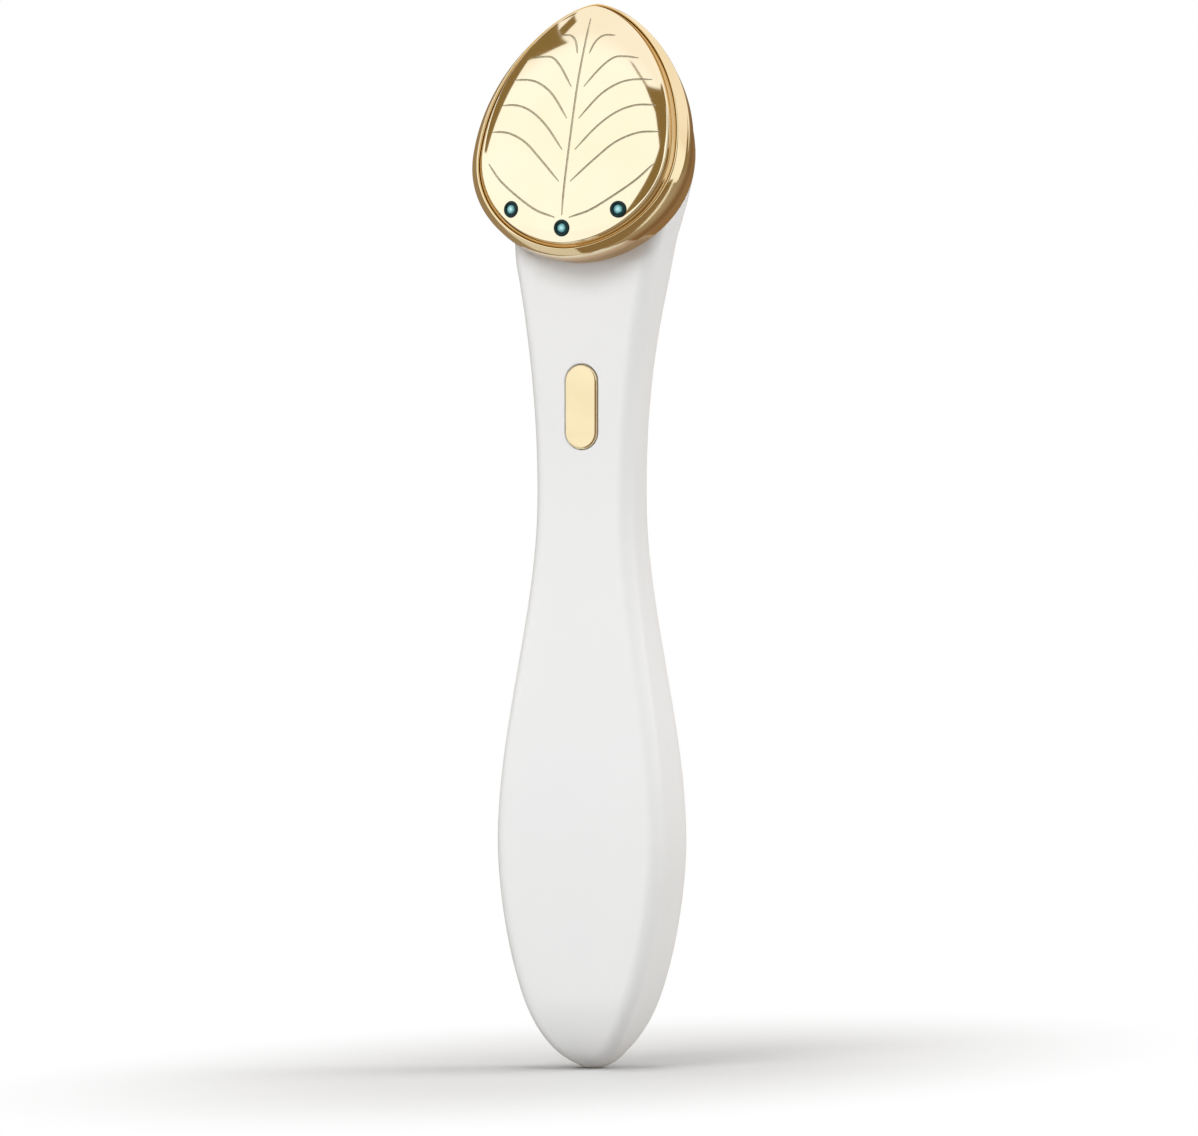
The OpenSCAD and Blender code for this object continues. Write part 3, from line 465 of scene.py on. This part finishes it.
def turned(name, start, axis, profile, finish, count=32, closed=False):
    # a profile of (distance along, radius) pairs turned about the axis through start
    axis = np.asarray(axis, float) / np.linalg.norm(axis)
    # any direction across the axis will do
    side = np.cross(axis, [0.3, 0.1, 0.9] if abs(axis[2]) < 0.9 else [1, 0.2, 0])
    side /= np.linalg.norm(side)
    up = np.cross(axis, side)
    along, radius = np.array(profile, float).T[:, :, None, None]
    turn = np.linspace(0, 2 * np.pi, count, endpoint=False)[None, :, None]
    rings = np.asarray(start, float) + axis * along + radius * (np.cos(turn) * side + np.sin(turn) * up)
    return solid(name, rings, finish, closed)


def bar(name, start, end, width, finish):
    reach = np.subtract(end, start)
    return turned(name, start, reach, [(0, width / 2), (np.linalg.norm(reach), width / 2)], finish)


def joined(name, pieces):
    # several separate shapes as one piece
    shape = bmesh.new()
    for piece in pieces:
        shape.from_mesh(piece.data)
    mesh = bpy.data.meshes.new(name)
    shape.to_mesh(mesh)
    shape.free()
    mesh.materials.append(pieces[0].data.materials[0])
    for piece in pieces:
        bpy.data.objects.remove(piece)
    whole = bpy.data.objects.new(name, mesh)
    bpy.context.scene.collection.objects.link(whole)
    return whole


def stadium(radius, half, count=22, along=8):
    # outline with round ends: radius times a direction, shifted by half towards the nearer end
    turn = np.linspace(0, np.pi, count)
    run = np.linspace(1, -1, along + 2)[1:-1]
    arc = np.column_stack([np.cos(turn), np.sin(turn)])
    ways = np.concatenate([arc, np.tile([-1, 0], (along, 1)), -arc, np.tile([1, 0], (along, 1))])
    shift = np.concatenate([np.ones(count), run, -np.ones(count), -run])
    return ways[None] * np.asarray(radius, float)[:, None, None] + np.stack(
        [np.zeros_like(shift), shift * half], -1)[None]


key = {"wide": 5.1, "long": 12.7, "z": 99.3, "proud": 0.25, "gap": 0.1, "flangeWide": 0.8,
       "flangeThick": 0.6, "crown": 0.14, "edge": 0.35, "slotEdge": 0.16, "middle": 0.03}
port = {"z": 16, "wide": 8.9, "high": 3.2, "gap": 0.15, "long": 7.2, "sunk": 0.3, "edge": 0.35, "deep": 3.3}
past = 1            # how far a slot's tool goes on outside the shell


def slotTool(name, profile, half, z, upright, finish):
    # a slot-shaped tool along Y; profile holds (radius, y) pairs
    radius, depth = np.array(profile, float).T
    flat = stadium(radius, half)
    across, along = (flat[..., 0], flat[..., 1]) if upright else (flat[..., 1], flat[..., 0])
    deep = np.broadcast_to(depth[:, None], across.shape)
    return solid(name, np.stack([across, deep + midY, along + z], -1), finish)


frontAtKey = float(frontY(np.array(key["z"])))
frontIn = frontAtKey + handle["wall"]
shellLevels = handleHeights(handle["levels"])
outer = solid("frontShell", handleRings(shellLevels, 0, handle["corner"]), whitePlastic)
rear = twin(outer, "backShell")

hollowLow, hollowHigh = handle["solidTip"] * handle["wall"], topZ - handle["solidTop"] * handle["wall"]
levels = handleHeights(handle["hollowLevels"])
levels = levels[(levels > hollowLow + bite) & (levels < hollowHigh - bite)]
levels = np.concatenate([[hollowLow], levels, [hollowHigh]])
hollow = solid("hollow", handleRings(levels, handle["wall"], handle["hollowCorner"], 2), whitePlastic)
plainHollow = twin(hollow, "plainHollow")

# what stands on the inside of the front wall: bosses for the boards' screws and ribs under the cell
inside = {"boss": 3.4, "bossFrom": 1.1, "screw": 1.66, "screwLong": 3, "mainScrewZ": (73.4, 109),
          "plungerOut": 0.5, "switchThick": 1, "chargeScrewX": 4, "chargeScrewZ": 22.6, "boardThick": 1,
          "ribThick": 1.2, "ribZ": (30.5, 45, 59.5), "ribHalf": 6.2, "ribFrom": -6.55, "cellFront": -4.8}
mainFront = frontIn + fit + key["flangeThick"] + fit + inside["plungerOut"] + inside["switchThick"]
chargeFront = float(backY(np.array(port["z"]))) - port["sunk"] - port["long"] - inside["boardThick"]
seats = [(0, z, mainFront) for z in inside["mainScrewZ"]] + [
    (side * inside["chargeScrewX"], inside["chargeScrewZ"], chargeFront) for side in (-1, 1)]
bosses = []
for x, z, y in seats:
    inWall = float(frontY(np.array(z))) + inside["bossFrom"]
    bosses.append(bar("boss", (x, y - fit + midY, z), (x, inWall + midY, z), inside["boss"], whitePlastic))
ribs = [block("rib", (-inside["ribHalf"], inside["ribFrom"] + midY, z - inside["ribThick"] / 2),
              (inside["ribHalf"], inside["cellFront"] + midY, z + inside["ribThick"] / 2), whitePlastic)
        for z in inside["ribZ"]]
combine(hollow, joined("standing", bosses + ribs))


def headPlace(points):
    # x across, v up along the slant, n out of the face
    x, v, n = np.moveaxis(np.asarray(points, float), -1, 0)
    return np.stack([x, midY - head["reach"] + v * headSin - n * headCos,
                     head["z"] + v * headCos + n * headSin], -1)


def headBar(name, x, v, low, high, width, finish):
    return bar(name, headPlace((x, v, low)), headPlace((x, v, high)), width, finish)


screwPlaces = [(-head["screwSide"], 1), (head["screwSide"], 1)]
holes = [bar("hole", (x, y + bite + midY, z), (x, y - inside["screwLong"] + midY, z), inside["screw"],
             whitePlastic) for x, z, y in seats]
wallPlaces = [(x, v, head["screwHole"]) for x, v in screwPlaces]
wallPlaces.append((0, -head["wireHoleDrop"], head["wireHole"]))
holes += [headBar("hole", x, v, -backDepth - handle["wall"] - bite, -backDepth + bite, wide, whitePlastic)
          for x, v, wide in wallPlaces]
keyRound, keyHalf = key["wide"] / 2, (key["long"] - key["wide"]) / 2
opening = keyRound + key["gap"]
openingOut = opening + key["slotEdge"]
holes.append(slotTool("hole", [(opening, frontIn + bite), (opening, frontAtKey + key["slotEdge"]),
                               (openingOut, frontAtKey), (openingOut + past, frontAtKey - past)],
                      keyHalf, key["z"], True, whitePlastic))
combine(outer, hollow)
combine(outer, coverBlock("coverSpace", 0, whitePlastic))
combine(outer, joined("holes", holes))
settle(outer, "handle", ["front_housing"])

combine(rear, plainHollow)
combine(rear, coverBlock("coverSpace", cover["gap"], whitePlastic), "INTERSECT")
backAtPort = float(backY(np.array(port["z"])))
portRound, portHalf = port["high"] / 2 + port["gap"], (port["wide"] - port["high"]) / 2
portOut = portRound + port["edge"]
portProfile = [(portRound, backAtPort - port["deep"]), (portRound, backAtPort - port["edge"]),
               (portOut, backAtPort), (portOut + past, backAtPort + past)]
combine(rear, slotTool("portHole", portProfile, portHalf, port["z"], False, whitePlastic))
hooks = []
for z in cover["hookZ"]:
    reach = cover["hookLong"] / 2
    x = min(float(coverHalf(np.array(end), cover["gap"])) for end in (z - reach, z + reach)) - fit
    y = float(backY(np.array(z))) - handle["wall"] - cover["hookReach"] + midY
    for side in (-1, 1):
        arm = sorted((side * (x - cover["hookThick"]), side * x))
        barb = sorted((side * (x - 2 * fit), side * (x + cover["barb"])))
        stemTop, toothTop = y + cover["hookReach"] + handle["wall"] / 2, y + cover["barbHigh"]
        stem = block("hook", (arm[0], y, z - reach), (arm[1], stemTop, z + reach), whitePlastic)
        tooth = block("barb", (barb[0], y, z - reach), (barb[1], toothTop, z + reach), whitePlastic)
        hooks.append(combine(stem, tooth, "UNION"))
combine(rear, joined("hooks", hooks), "UNION")
settle(rear, "handle", ["back_cover"])

flangeBack = frontIn + fit + key["flangeThick"]
bend = np.linspace(0, np.pi / 2, 8)
edge, top = key["edge"], frontAtKey - key["proud"]
inner = (keyRound - edge) * np.linspace(1, 0.01, 14)[1:]
inward = np.concatenate([keyRound - edge * (1 - np.cos(bend)), inner])
crown = np.concatenate([top + edge * (1 - np.sin(bend)), np.full(len(inner), top)])
crown -= key["crown"] * (1 - (inward / keyRound)**2)
flangeRound, flangeFront = keyRound + key["flangeWide"], flangeBack - key["flangeThick"]
keyProfile = [(key["middle"], flangeBack), (flangeRound, flangeBack), (flangeRound, flangeFront),
              (keyRound, flangeFront)] + list(zip(inward, crown))
powerKey = slotTool("powerKey", keyProfile, keyHalf, key["z"], True, goldPlating)
settle(powerKey, "button", ["power_button"])
print("handle, cover and power button done")


def leafRings(rows):
    # rows of share, inset, n, scale: a round-bottomed leaf, x = w * cos(t)^power, v = high or low * sin(t)
    share, inset, n, scale = np.asarray(rows, float).T[:, :, None]
    t = np.linspace(0, 2 * np.pi, head["around"], endpoint=False)[None]
    c, s = np.cos(t), np.sin(t)
    w = head["wide"] / 2 - share * head["ringSide"] - inset
    low = head["below"] - share * head["ringFoot"] - inset
    high = (head["above"] - share * head["ringTip"] - head["tipInset"] * inset
            + head["tipSlope"] * np.minimum(0, n))
    x = scale * w * np.sign(c) * np.abs(c)**np.where(s > 0, head["leafPower"], head["footPower"])
    v = scale * np.where(s > 0, high, low) * s
    return headPlace(np.stack([x, v, np.broadcast_to(n, x.shape)], -1))


# the ring's section, from the back round its outside, over the crest and down to the lip under the face
skirt, lip, ringBack = head["skirtShare"], head["lipWide"], -head["ringDepth"]
ringCorners = [(0, 0.35, ringBack), (0, 0, ringBack + 0.4), (0, 0, -1.6), (0.05, 0, -1.2), (0.27, 0, -0.6),
               (0.47, 0, -0.1), (0.54, 0, -0.05), (skirt, 0, -0.22), (skirt, 0, -head["lipSeat"]),
               (skirt, lip, -head["lipSeat"]), (skirt, lip, ringBack)]
ringRows = softened([row + (1,) for row in ringCorners], head["ringRound"], closed=True)
goldRing = solid("goldRing", leafRings(ringRows), ringPlating, closedAlong=True)
settle(goldRing, "handle", ["head_ring"])

floorN, topN, seatN = fit - backDepth, ringBack - fit, head["collarFloor"] - backDepth
sideIn = head["collarInset"]
collarRows = softened([(0, sideIn, floorN, 0.02), (0, sideIn, floorN, 0.97), (0, sideIn, floorN, 1),
                       (0, sideIn, topN, 1), (skirt, lip, topN, 1), (skirt, lip, seatN, 1),
                       (skirt, lip, seatN, 0.97), (skirt, lip, seatN, 0.02)], head["collarRound"])
goldCollar = solid("goldCollar", leafRings(collarRows), collarShadePlating)
postTop = -head["lipSeat"] - 5 * fit
for x, v in screwPlaces:
    post = headBar("post", x, v, seatN - bite, postTop, head["postWide"], collarShadePlating)
    combine(goldCollar, post, "UNION")
drillFrom, drillTo = -backDepth - bite, postTop - head["drillStop"]
drills = [headBar("drill", x, v, drillFrom, drillTo, head["drillWide"], collarShadePlating)
          for x, v in screwPlaces]
drills.append(headBar("drill", 0, -head["wireHoleDrop"], drillFrom, seatN + bite, head["wireHole"],
                      collarShadePlating))
combine(goldCollar, joined("drills", drills))
settle(goldCollar, "handle", ["head_collar"])

face = {"edgeRise": 1, "domeRise": 2.2, "domePower": 3, "wall": 1, "gap": 0.06, "round": 0.12,
        "lineWide": 0.34, "lineDeep": 0.16, "lineTaper": 5}
faceHalf, faceBelow = head["wide"] / 2 - head["ringSide"], head["below"] - head["ringFoot"]
faceAbove = head["above"] - head["ringTip"]


def dome(f):
    return face["edgeRise"] + face["domeRise"] * (1 - np.abs(f)**face["domePower"])


def shareAt(x, v):
    # how far out a point lies, 0 in the middle and 1 at the face's edge, by halving until the leaf meets it
    power = np.where(v > 0, head["leafPower"], head["footPower"])
    tall = np.where(v > 0, faceAbove, faceBelow)
    low, high = np.full(np.shape(x), 1e-3), np.full(np.shape(x), 1.5)
    for halving in range(40):
        middle = (low + high) / 2
        out = (np.abs(x) / (middle * faceHalf))**(2 / power) + (v / (middle * tall))**2 > 1
        low, high = np.where(out, middle, low), np.where(out, high, middle)
    return (low + high) / 2


over = np.sin(np.linspace(0.013, 1.4, 74))
over = over / over[-1] * 0.985
under = np.linspace(0.95, 0.02, 12)
rise, footN, skirtIn = face["edgeRise"], fit - head["lipSeat"], face["gap"] + face["wall"]
faceEdge = [(1, 0, dome(0.985), 0.985), (1, 0.02, rise + 0.02, 1), (0.94, 0, rise - 0.04, 1),
            (0.9, 0, rise - 0.2, 1), (0.82, 0, 0.12, 1), (0.74, 0.05, 0, 1), (skirt, face["gap"], -0.35, 1),
            (skirt, face["gap"], footN, 1), (skirt, skirtIn, footN, 1), (skirt, skirtIn, -0.6, 1),
            (1, 0.55, rise - 0.55, 1)]
faceRows = np.vstack([
    np.column_stack([np.ones_like(over), np.zeros_like(over), dome(over), over]),
    softened(faceEdge, face["round"])[1:],
    np.column_stack([np.ones_like(under), np.zeros_like(under), dome(under) - face["wall"], under])])
leafFace = solid("leafFace", leafRings(faceRows), facePolish)

# the engraved leaf: a middle line, the lower edge of the blade, and five side lines, all mirrored; x and v
middleLine = [(0, -10.7), (0.05, -4), (0, 3), (-0.05, 10), (0, 16), (0, 21)]
sideLines = [[(1.1, -11.0), (4.4, -9.8), (8.0, -7.4), (11.0, -4.9), (13.3, -2.2)],
             [(0.9, -5.6), (4.7, -1.7), (7.4, 0.8), (10.5, 2.4), (13.5, 2.9)],
             [(1.0, -0.6), (4.1, 3.2), (6.9, 5.6), (9.6, 6.8), (12.4, 7.1)],
             [(0.95, 4.4), (3.8, 8.2), (6.2, 10.1), (8.3, 10.9), (11.2, 11.2)],
             [(1.0, 9.5), (3.2, 12.7), (4.9, 14.4), (6.5, 14.7), (8.6, 14.6)],
             [(0.95, 15.0), (1.6, 17.0), (2.7, 18.1), (4.4, 18.2)]]


def groove(name, points):
    # a thin round tube laid along the dome, its middle just above the surface and its ends thinner
    x, v = smoothPath(points).T
    n = dome(shareAt(x, v))
    rise = np.gradient(np.stack([x, v, n], -1), axis=0)
    along = rise / np.linalg.norm(rise, axis=1)[:, None]
    small = 0.05
    lean = np.stack([(n - dome(shareAt(x + small, v))) / small, (n - dome(shareAt(x, v + small))) / small,
                     np.ones_like(n)], -1)
    lean /= np.linalg.norm(lean, axis=1)[:, None]
    side = np.cross(along, lean)
    reach = np.minimum(np.arange(len(x)), np.arange(len(x))[::-1])
    radius = (face["lineWide"] / 2 * (0.5 + 0.5 * np.minimum(1, reach / face["lineTaper"])))[:, None, None]
    turn = np.linspace(0, 2 * np.pi, 12, endpoint=False)[None, :, None]
    middle = np.stack([x, v, n], -1) + lean * (face["lineWide"] / 2 - face["lineDeep"])
    rings = middle[:, None] + radius * (np.cos(turn) * side[:, None] + np.sin(turn) * lean[:, None])
    return solid(name, headPlace(rings), engraved)


lines = [groove("line", middleLine)]
for points in sideLines:
    lines += [groove("line", [(side * x, v) for x, v in points]) for side in (-1, 1)]

light = {"side": 8.64, "sideDrop": 9.5, "drop": 12.5, "ringWide": 2.5, "lensWide": 1.5, "lensLong": 1.9,
         "proud": 0.16, "socketDeep": 2.5, "socketHigh": 1.5}
lightPlaces = [(-light["side"], -light["sideDrop"]), (0, -light["drop"]),
               (light["side"], -light["sideDrop"])]


def lightFrame(x, v):
    # a light's middle on the dome and the way it faces
    f = np.hypot(x / faceHalf, v / faceBelow)
    slope = face["domePower"] * face["domeRise"] * f**(face["domePower"] - 2)
    middle = headPlace((x, v, dome(f)))
    ahead = headPlace((x + slope * x / faceHalf**2, v + slope * v / faceBelow**2, dome(f) + 1))
    return middle, ahead - middle


ringOut, ringIn = light["ringWide"] / 2, light["lensWide"] / 2 + fit
bezelProfile = [(-1.2, ringIn), (-1.2, ringOut), (-0.02, ringOut), (0.06, ringOut - 0.03),
                (0.13, ringOut - 0.12), (0.16, ringOut - 0.25), (0.14, ringIn + 0.12),
                (0.07, ringIn + 0.03), (-0.05, ringIn)]
lensRound = light["lensWide"] / 2
dip = np.linspace(0, np.pi / 2, 9)
lensProfile = [(-light["lensLong"], 0.02), (-light["lensLong"], lensRound)] + [
    (light["proud"] * np.sin(t) - 0.05, lensRound * max(0.03, np.cos(t))) for t in dip]
socketProfile = [(-light["socketDeep"], ringOut + fit), (light["socketHigh"], ringOut + fit)]
sockets, bezels, lenses = [], [], []
for x, v in lightPlaces:
    middle, way = lightFrame(x, v)
    sockets.append(turned("socket", middle, way, socketProfile, facePolish, 40))
    bezels.append(turned("bezel", middle, way, bezelProfile, ringGloss, 40, closed=True))
    lenses.append(turned("lens", middle, way, lensProfile, lensPaintedGlow, 32))
combine(leafFace, joined("sockets", sockets))
combine(leafFace, joined("lines", lines))
settle(leafFace, "handle", ["face_plate"], crease=30)
lightRings = joined("lightRings", bezels)
settle(lightRings, "handle", ["led_bezels"], crease=40)
lightLenses = joined("lightLenses", lenses)
spots = np.empty(len(lightLenses.data.vertices) * 3)
lightLenses.data.vertices.foreach_get("co", spots)
spots = spots.reshape(-1, 3) / mm
nearest = np.full(len(spots), np.inf)
for x, v in lightPlaces:
    middle, way = lightFrame(x, v)
    way = way / np.linalg.norm(way)
    offset = spots - middle
    nearest = np.minimum(nearest, np.linalg.norm(offset - (offset @ way)[:, None] * way, axis=1))
lightLenses.data.attributes.new("radial", "FLOAT", "POINT").data.foreach_set("value", nearest / lensRound)
settle(lightLenses, "handle", ["led_lenses"], crease=40)
print("head done")


def dress(names, finish):
    for name in names:
        for slot in nodes[name].material_slots:
            slot.material = finish


# the pieces that keep their own solids: the finish's name, its two shades, its surface and who wears it
innerFinishes = [
    ("greenBoard", (0.012, 0.10, 0.045), (0.02, 0.14, 0.06),
     {"rough": 0.42, "size": 1.2, "dent": 0.006, "coat": 0.3},
     ["main_board", "protection_board", "charge_board", "led_board"]),
    ("blackMoulding", (0.012, 0.012, 0.013), (0.022, 0.022, 0.023), {"rough": 0.5, "size": 0.8},
     ["switch_body", "switch_plunger", "control_chip", "port_tongue", "thermistor"]),
    ("boardParts", (0.32, 0.26, 0.14), (0.42, 0.37, 0.24), {"rough": 0.5, "size": 1.6}, ["board_parts"]),
    ("zincSteel", (0.52, 0.53, 0.56), (0.62, 0.62, 0.64), {"rough": 0.3, "metallic": 1.0, "size": 0.7},
     ["board_screws", "head_screws"]),
    ("drawnMetal", (0.58, 0.58, 0.60), (0.68, 0.68, 0.69),
     {"rough": 0.24, "metallic": 1.0, "size": 1.4, "dent": 0.003}, ["port_shell", "motor_can"]),
    ("cellFoil", (0.46, 0.49, 0.55), (0.58, 0.61, 0.66),
     {"rough": 0.34, "metallic": 0.8, "size": 3, "dent": 0.03}, ["battery_cell"]),
    ("darkFoam", (0.012, 0.012, 0.012), (0.035, 0.035, 0.035), {"rough": 0.95, "size": 0.5, "dent": 0.05},
     ["battery_foam"]),
    ("whiteCap", (0.72, 0.71, 0.67), (0.78, 0.77, 0.74), {"rough": 0.5, "size": 1.0}, ["motor_cap"]),
    ("rubberSleeve", (0.010, 0.010, 0.010), (0.020, 0.020, 0.020), {"rough": 0.75, "size": 0.8},
     ["motor_sleeve"]),
    ("brassWeight", (0.50, 0.34, 0.13), (0.60, 0.43, 0.19), {"rough": 0.3, "metallic": 1.0, "size": 0.6},
     ["motor_weight"]),
    ("phosphor", (0.80, 0.72, 0.28), (0.88, 0.84, 0.5), {"rough": 0.4, "size": 0.5}, ["led_emitters"]),
    ("amberFilm", (0.50, 0.19, 0.025), (0.60, 0.26, 0.05), {"rough": 0.28, "size": 2.4}, ["heater_film"]),
    ("greySheet", (0.10, 0.10, 0.10), (0.15, 0.15, 0.15), {"rough": 0.85, "size": 0.7, "dent": 0.02},
     ["head_insulator"]),
    ("redWire", (0.42, 0.012, 0.010), (0.50, 0.03, 0.02), {"rough": 0.45, "size": 1.0},
     ["battery_leads", "charge_leads"]),
    ("blueWire", (0.012, 0.035, 0.30), (0.03, 0.06, 0.38), {"rough": 0.45, "size": 1.0}, ["motor_leads"]),
    ("whiteWire", (0.70, 0.70, 0.67), (0.78, 0.78, 0.75), {"rough": 0.45, "size": 1.0}, ["heater_leads"]),
    ("greenWire", (0.01, 0.17, 0.04), (0.02, 0.23, 0.06), {"rough": 0.45, "size": 1.0}, ["light_leads"])]
for name, colour, other, surface, wearers in innerFinishes:
    dress(wearers, simpleFinish(name, colour, other, **surface))
dress(["front_housing", "back_cover"], whitePlastic)
dress(["power_button", "head_ring", "head_collar", "face_plate"], goldPlating)
print("inner pieces finished")


# where the picture was taken from: turn in degrees, lengths in mm, and the axis and the floor in pixels
studio = {"turn": 22, "distance": 2000, "height": 122, "imageWide": 1198, "imageHigh": 1136,
          "perPixel": 0.15, "axisX": 594.3, "floorY": 1068.5}
turn = radians(studio["turn"])
across, toCamera = np.array([np.cos(turn), np.sin(turn), 0]), np.array([np.sin(turn), -np.cos(turn), 0])
aim = np.array([0, midY, (studio["floorY"] - studio["imageHigh"] / 2) * studio["perPixel"]])
aim = aim + across * (studio["imageWide"] / 2 - studio["axisX"]) * studio["perPixel"]
spot = aim + toCamera * studio["distance"]
spot[2] = studio["height"]
camera = bpy.data.objects.new("camera", bpy.data.cameras.new("camera"))
wideSeen = studio["imageWide"] * studio["perPixel"]
camera.data.lens = camera.data.sensor_width * studio["distance"] / wideSeen
camera.data.clip_start, camera.data.clip_end = 0.05, 20
camera.location = Vector(spot * mm)
camera.rotation_euler = Vector((aim - spot) * mm).to_track_quat("-Z", "Y").to_euler()
bpy.context.scene.collection.objects.link(camera)
bpy.context.scene.camera = camera


# turn is round the upright axis, 0 in front and 90 on the right; rise is above the floor, both in degrees;
# level is what the lamp adds to a surface that faces it; the distance, the size and the height that they
# all face are in metres
lamps = {"keyLight": {"turn": -8, "rise": 34, "away": 1.2, "size": 0.6, "level": 0.50},
         "frontFill": {"turn": 10, "rise": 10, "away": 1.5, "size": 0.7, "level": 0.06},
         "rightFill": {"turn": 126, "rise": 22, "away": 1.2, "size": 0.8, "level": 0.59},
         "topFill": {"turn": 0, "rise": 87, "away": 1.6, "size": 0.7, "level": 0.5}}
lampsFace = 0.09
for name, item in lamps.items():
    turn, rise = radians(item["turn"]), radians(item["rise"])
    data = bpy.data.lights.new(name, "AREA")
    data.shape, data.size = "DISK", item["size"]
    data.energy = item["level"] * (np.pi * item["away"])**2
    made = bpy.data.objects.new(name, data)
    aimed = Vector((np.sin(turn) * np.cos(rise), -np.cos(turn) * np.cos(rise), np.sin(rise)))
    made.location = Vector((0, 0, lampsFace)) + aimed * item["away"]
    made.rotation_euler = (-aimed).to_track_quat("-Z", "Y").to_euler()
    made.visible_glossy = False
    bpy.context.scene.collection.objects.link(made)

# the room is plain and pale, with a few brown cards round the head that only metal and glass mirror;
# a card reaches from its left to its right turn, each with its lean in degrees of turn per degree of rise,
# and from its low to its high rise
cards = [{"left": (6.8, 0.47), "right": (52, 0), "low": -95, "high": 38.6, "shade": 1.0},
         {"left": (49, -0.63), "right": (42, 0), "low": 37.4, "high": 48.1, "shade": 1.0},
         {"left": (104.1, -1.8), "right": (36, 0), "low": 46.9, "high": 53, "shade": 1.0},
         {"left": (199, -3.6), "right": (203, -3.6), "low": 51.5, "high": 56.5, "shade": 0.8},
         {"left": (50, 0), "right": (61.3, 0.2), "low": -95, "high": 6, "shade": 1.0},
         {"left": (63.5, 0.2), "right": (108, 0), "low": -95, "high": 2, "shade": 0.85},
         {"left": (66, 0.75), "right": (125, 0), "low": 0, "high": 28, "shade": 0.95},
         {"left": (105, 0), "right": (185, 0), "low": -95, "high": 9, "shade": 0.9},
         {"left": (-185, 0), "right": (-90, 0), "low": -95, "high": 15, "shade": 0.9},
         {"left": (-92, 0), "right": (50, 0), "low": -95, "high": -28, "shade": 0.42},
         {"left": (-98, 0), "right": (-76, 0), "low": 24, "high": 42.6, "shade": 1.0},
         {"left": (-82, 0), "right": (-201, 3), "low": 41.4, "high": 49.3, "shade": 1.0},
         {"left": (-70.5, 0), "right": (-62, 0), "low": 49.3, "high": 53.7, "shade": 1.0}]
sky = {"level": 0.39, "mirror": (1.10, 1.07, 0.97), "top": (1.02, 0.93, 0.80), "topRise": 57, "topTurn": -8,
       "topBend": 0.004, "topSoft": 4, "card": (0.25, 0.155, 0.05), "cardSoft": 0.3}
# near the object the floor keeps a grey lit colour, a painted soft shadow that also holds the lamps' real
# shadows, and from whiteFrom to whiteAt metres out it fades to white
ground = {"seen": (0.57, 0.57, 0.57), "bounce": (0.48, 0.48, 0.48), "whiteFrom": 0.03, "whiteAt": 0.17,
          "sideways": 4.4, "gloss": 0.95, "headHigh": 0.13}


def mirrorRoom(x, y, rise):
    # what a shiny surface shows in the direction x, y at this rise: the pale room, or a card in front of it
    turn = x.math("ARCTAN2", x, y * -1.0) * (180 / np.pi)
    shade, soft = 0.0, sky["cardSoft"]
    for card in cards:
        left, right = [turn - (rise * lean + start) for start, lean in (card["left"], card["right"])]
        wide = left.step(-soft, soft) * (1 - right.step(-soft, soft))
        one = wide * rise.between(card["low"], card["high"], soft) * card["shade"]
        shade = one.math("MAXIMUM", one, shade)
    aside = turn - sky["topTurn"]
    top = rise - (sky["topRise"] - aside * aside * sky["topBend"])
    above = top.step(-sky["topSoft"], sky["topSoft"]).tint(rgb(*sky["mirror"]), rgb(*sky["top"]))
    return shade.tint(above, rgb(*sky["card"]))


def lightPath(wire, name):
    return wire.node("ShaderNodeLightPath", {}, {}, name)


def inMetal(wire):
    # 1 for what the camera sees in metal or glass, 0 for the light that they pass on
    mirrored = lightPath(wire, "Is Glossy Ray").math("MAXIMUM", lightPath(wire, "Is Glossy Ray"),
                                                     lightPath(wire, "Is Transmission Ray"))
    return mirrored * (1 - lightPath(wire, "Diffuse Depth").step(0, 1))


bpy.ops.mesh.primitive_plane_add(size=12, location=(0, 0, 0))
floor = bpy.context.active_object
floor.name = "floor"
paleFloor, wire = newMaterial("paleFloor")
x, y = split(wire, positionOn(wire))[:2]
away = x.math("SQRT", x * x + y * y)
aside = x.math("SQRT", x * x * ground["sideways"] + y * y)      # the floor turns white sooner at the sides, so its painted grey shade lies as a wide low band
drop = away.math("ARCTAN2", away * 0 + ground["headHigh"], away) * (-180 / np.pi)
seen = lightPath(wire, "Is Camera Ray")
matt = wire.node("ShaderNodeBsdfPrincipled", {}, {
    "Base Color": seen.tint(rgb(*ground["bounce"]), rgb(*ground["seen"])), "Roughness": 0.6,
    "Specular IOR Level": 0.1})
white = wire.node("ShaderNodeEmission", {}, {"Color": rgb(1, 1, 1), "Strength": 1.0})
mirrored = wire.node("ShaderNodeEmission", {}, {"Color": mirrorRoom(x, y, drop), "Strength": 1.0})
floorWithPaintedShadow = wire.node("ShaderNodeMixShader", {}, {
    0: seen * aside.step(ground["whiteFrom"], ground["whiteAt"]), 1: matt, 2: white})
finishWith(wire, wire.node("ShaderNodeMixShader", {}, {
    0: inMetal(wire) * ground["gloss"], 1: floorWithPaintedShadow, 2: mirrored}))
floor.data.materials.append(paleFloor)

world = bpy.data.worlds.new("room")
world.use_nodes = True
world.node_tree.nodes.clear()
bpy.context.scene.world = world
wire = Wire(world.node_tree)
x, y, z = split(wire, positionOn(wire, "Generated"))
room = inMetal(wire).tint(rgb(sky["level"], sky["level"], sky["level"]),
                          mirrorRoom(x, y, z.math("ARCSINE", z) * (180 / np.pi)))
room = lightPath(wire, "Is Camera Ray").tint(room, rgb(1, 1, 1))
background = wire.node("ShaderNodeBackground", {}, {"Color": room, "Strength": 1.0})
wire.node("ShaderNodeOutputWorld", {}, {"Surface": background})
bpy.context.scene.view_settings.view_transform = "Standard"
print("room, lamps and camera ready")
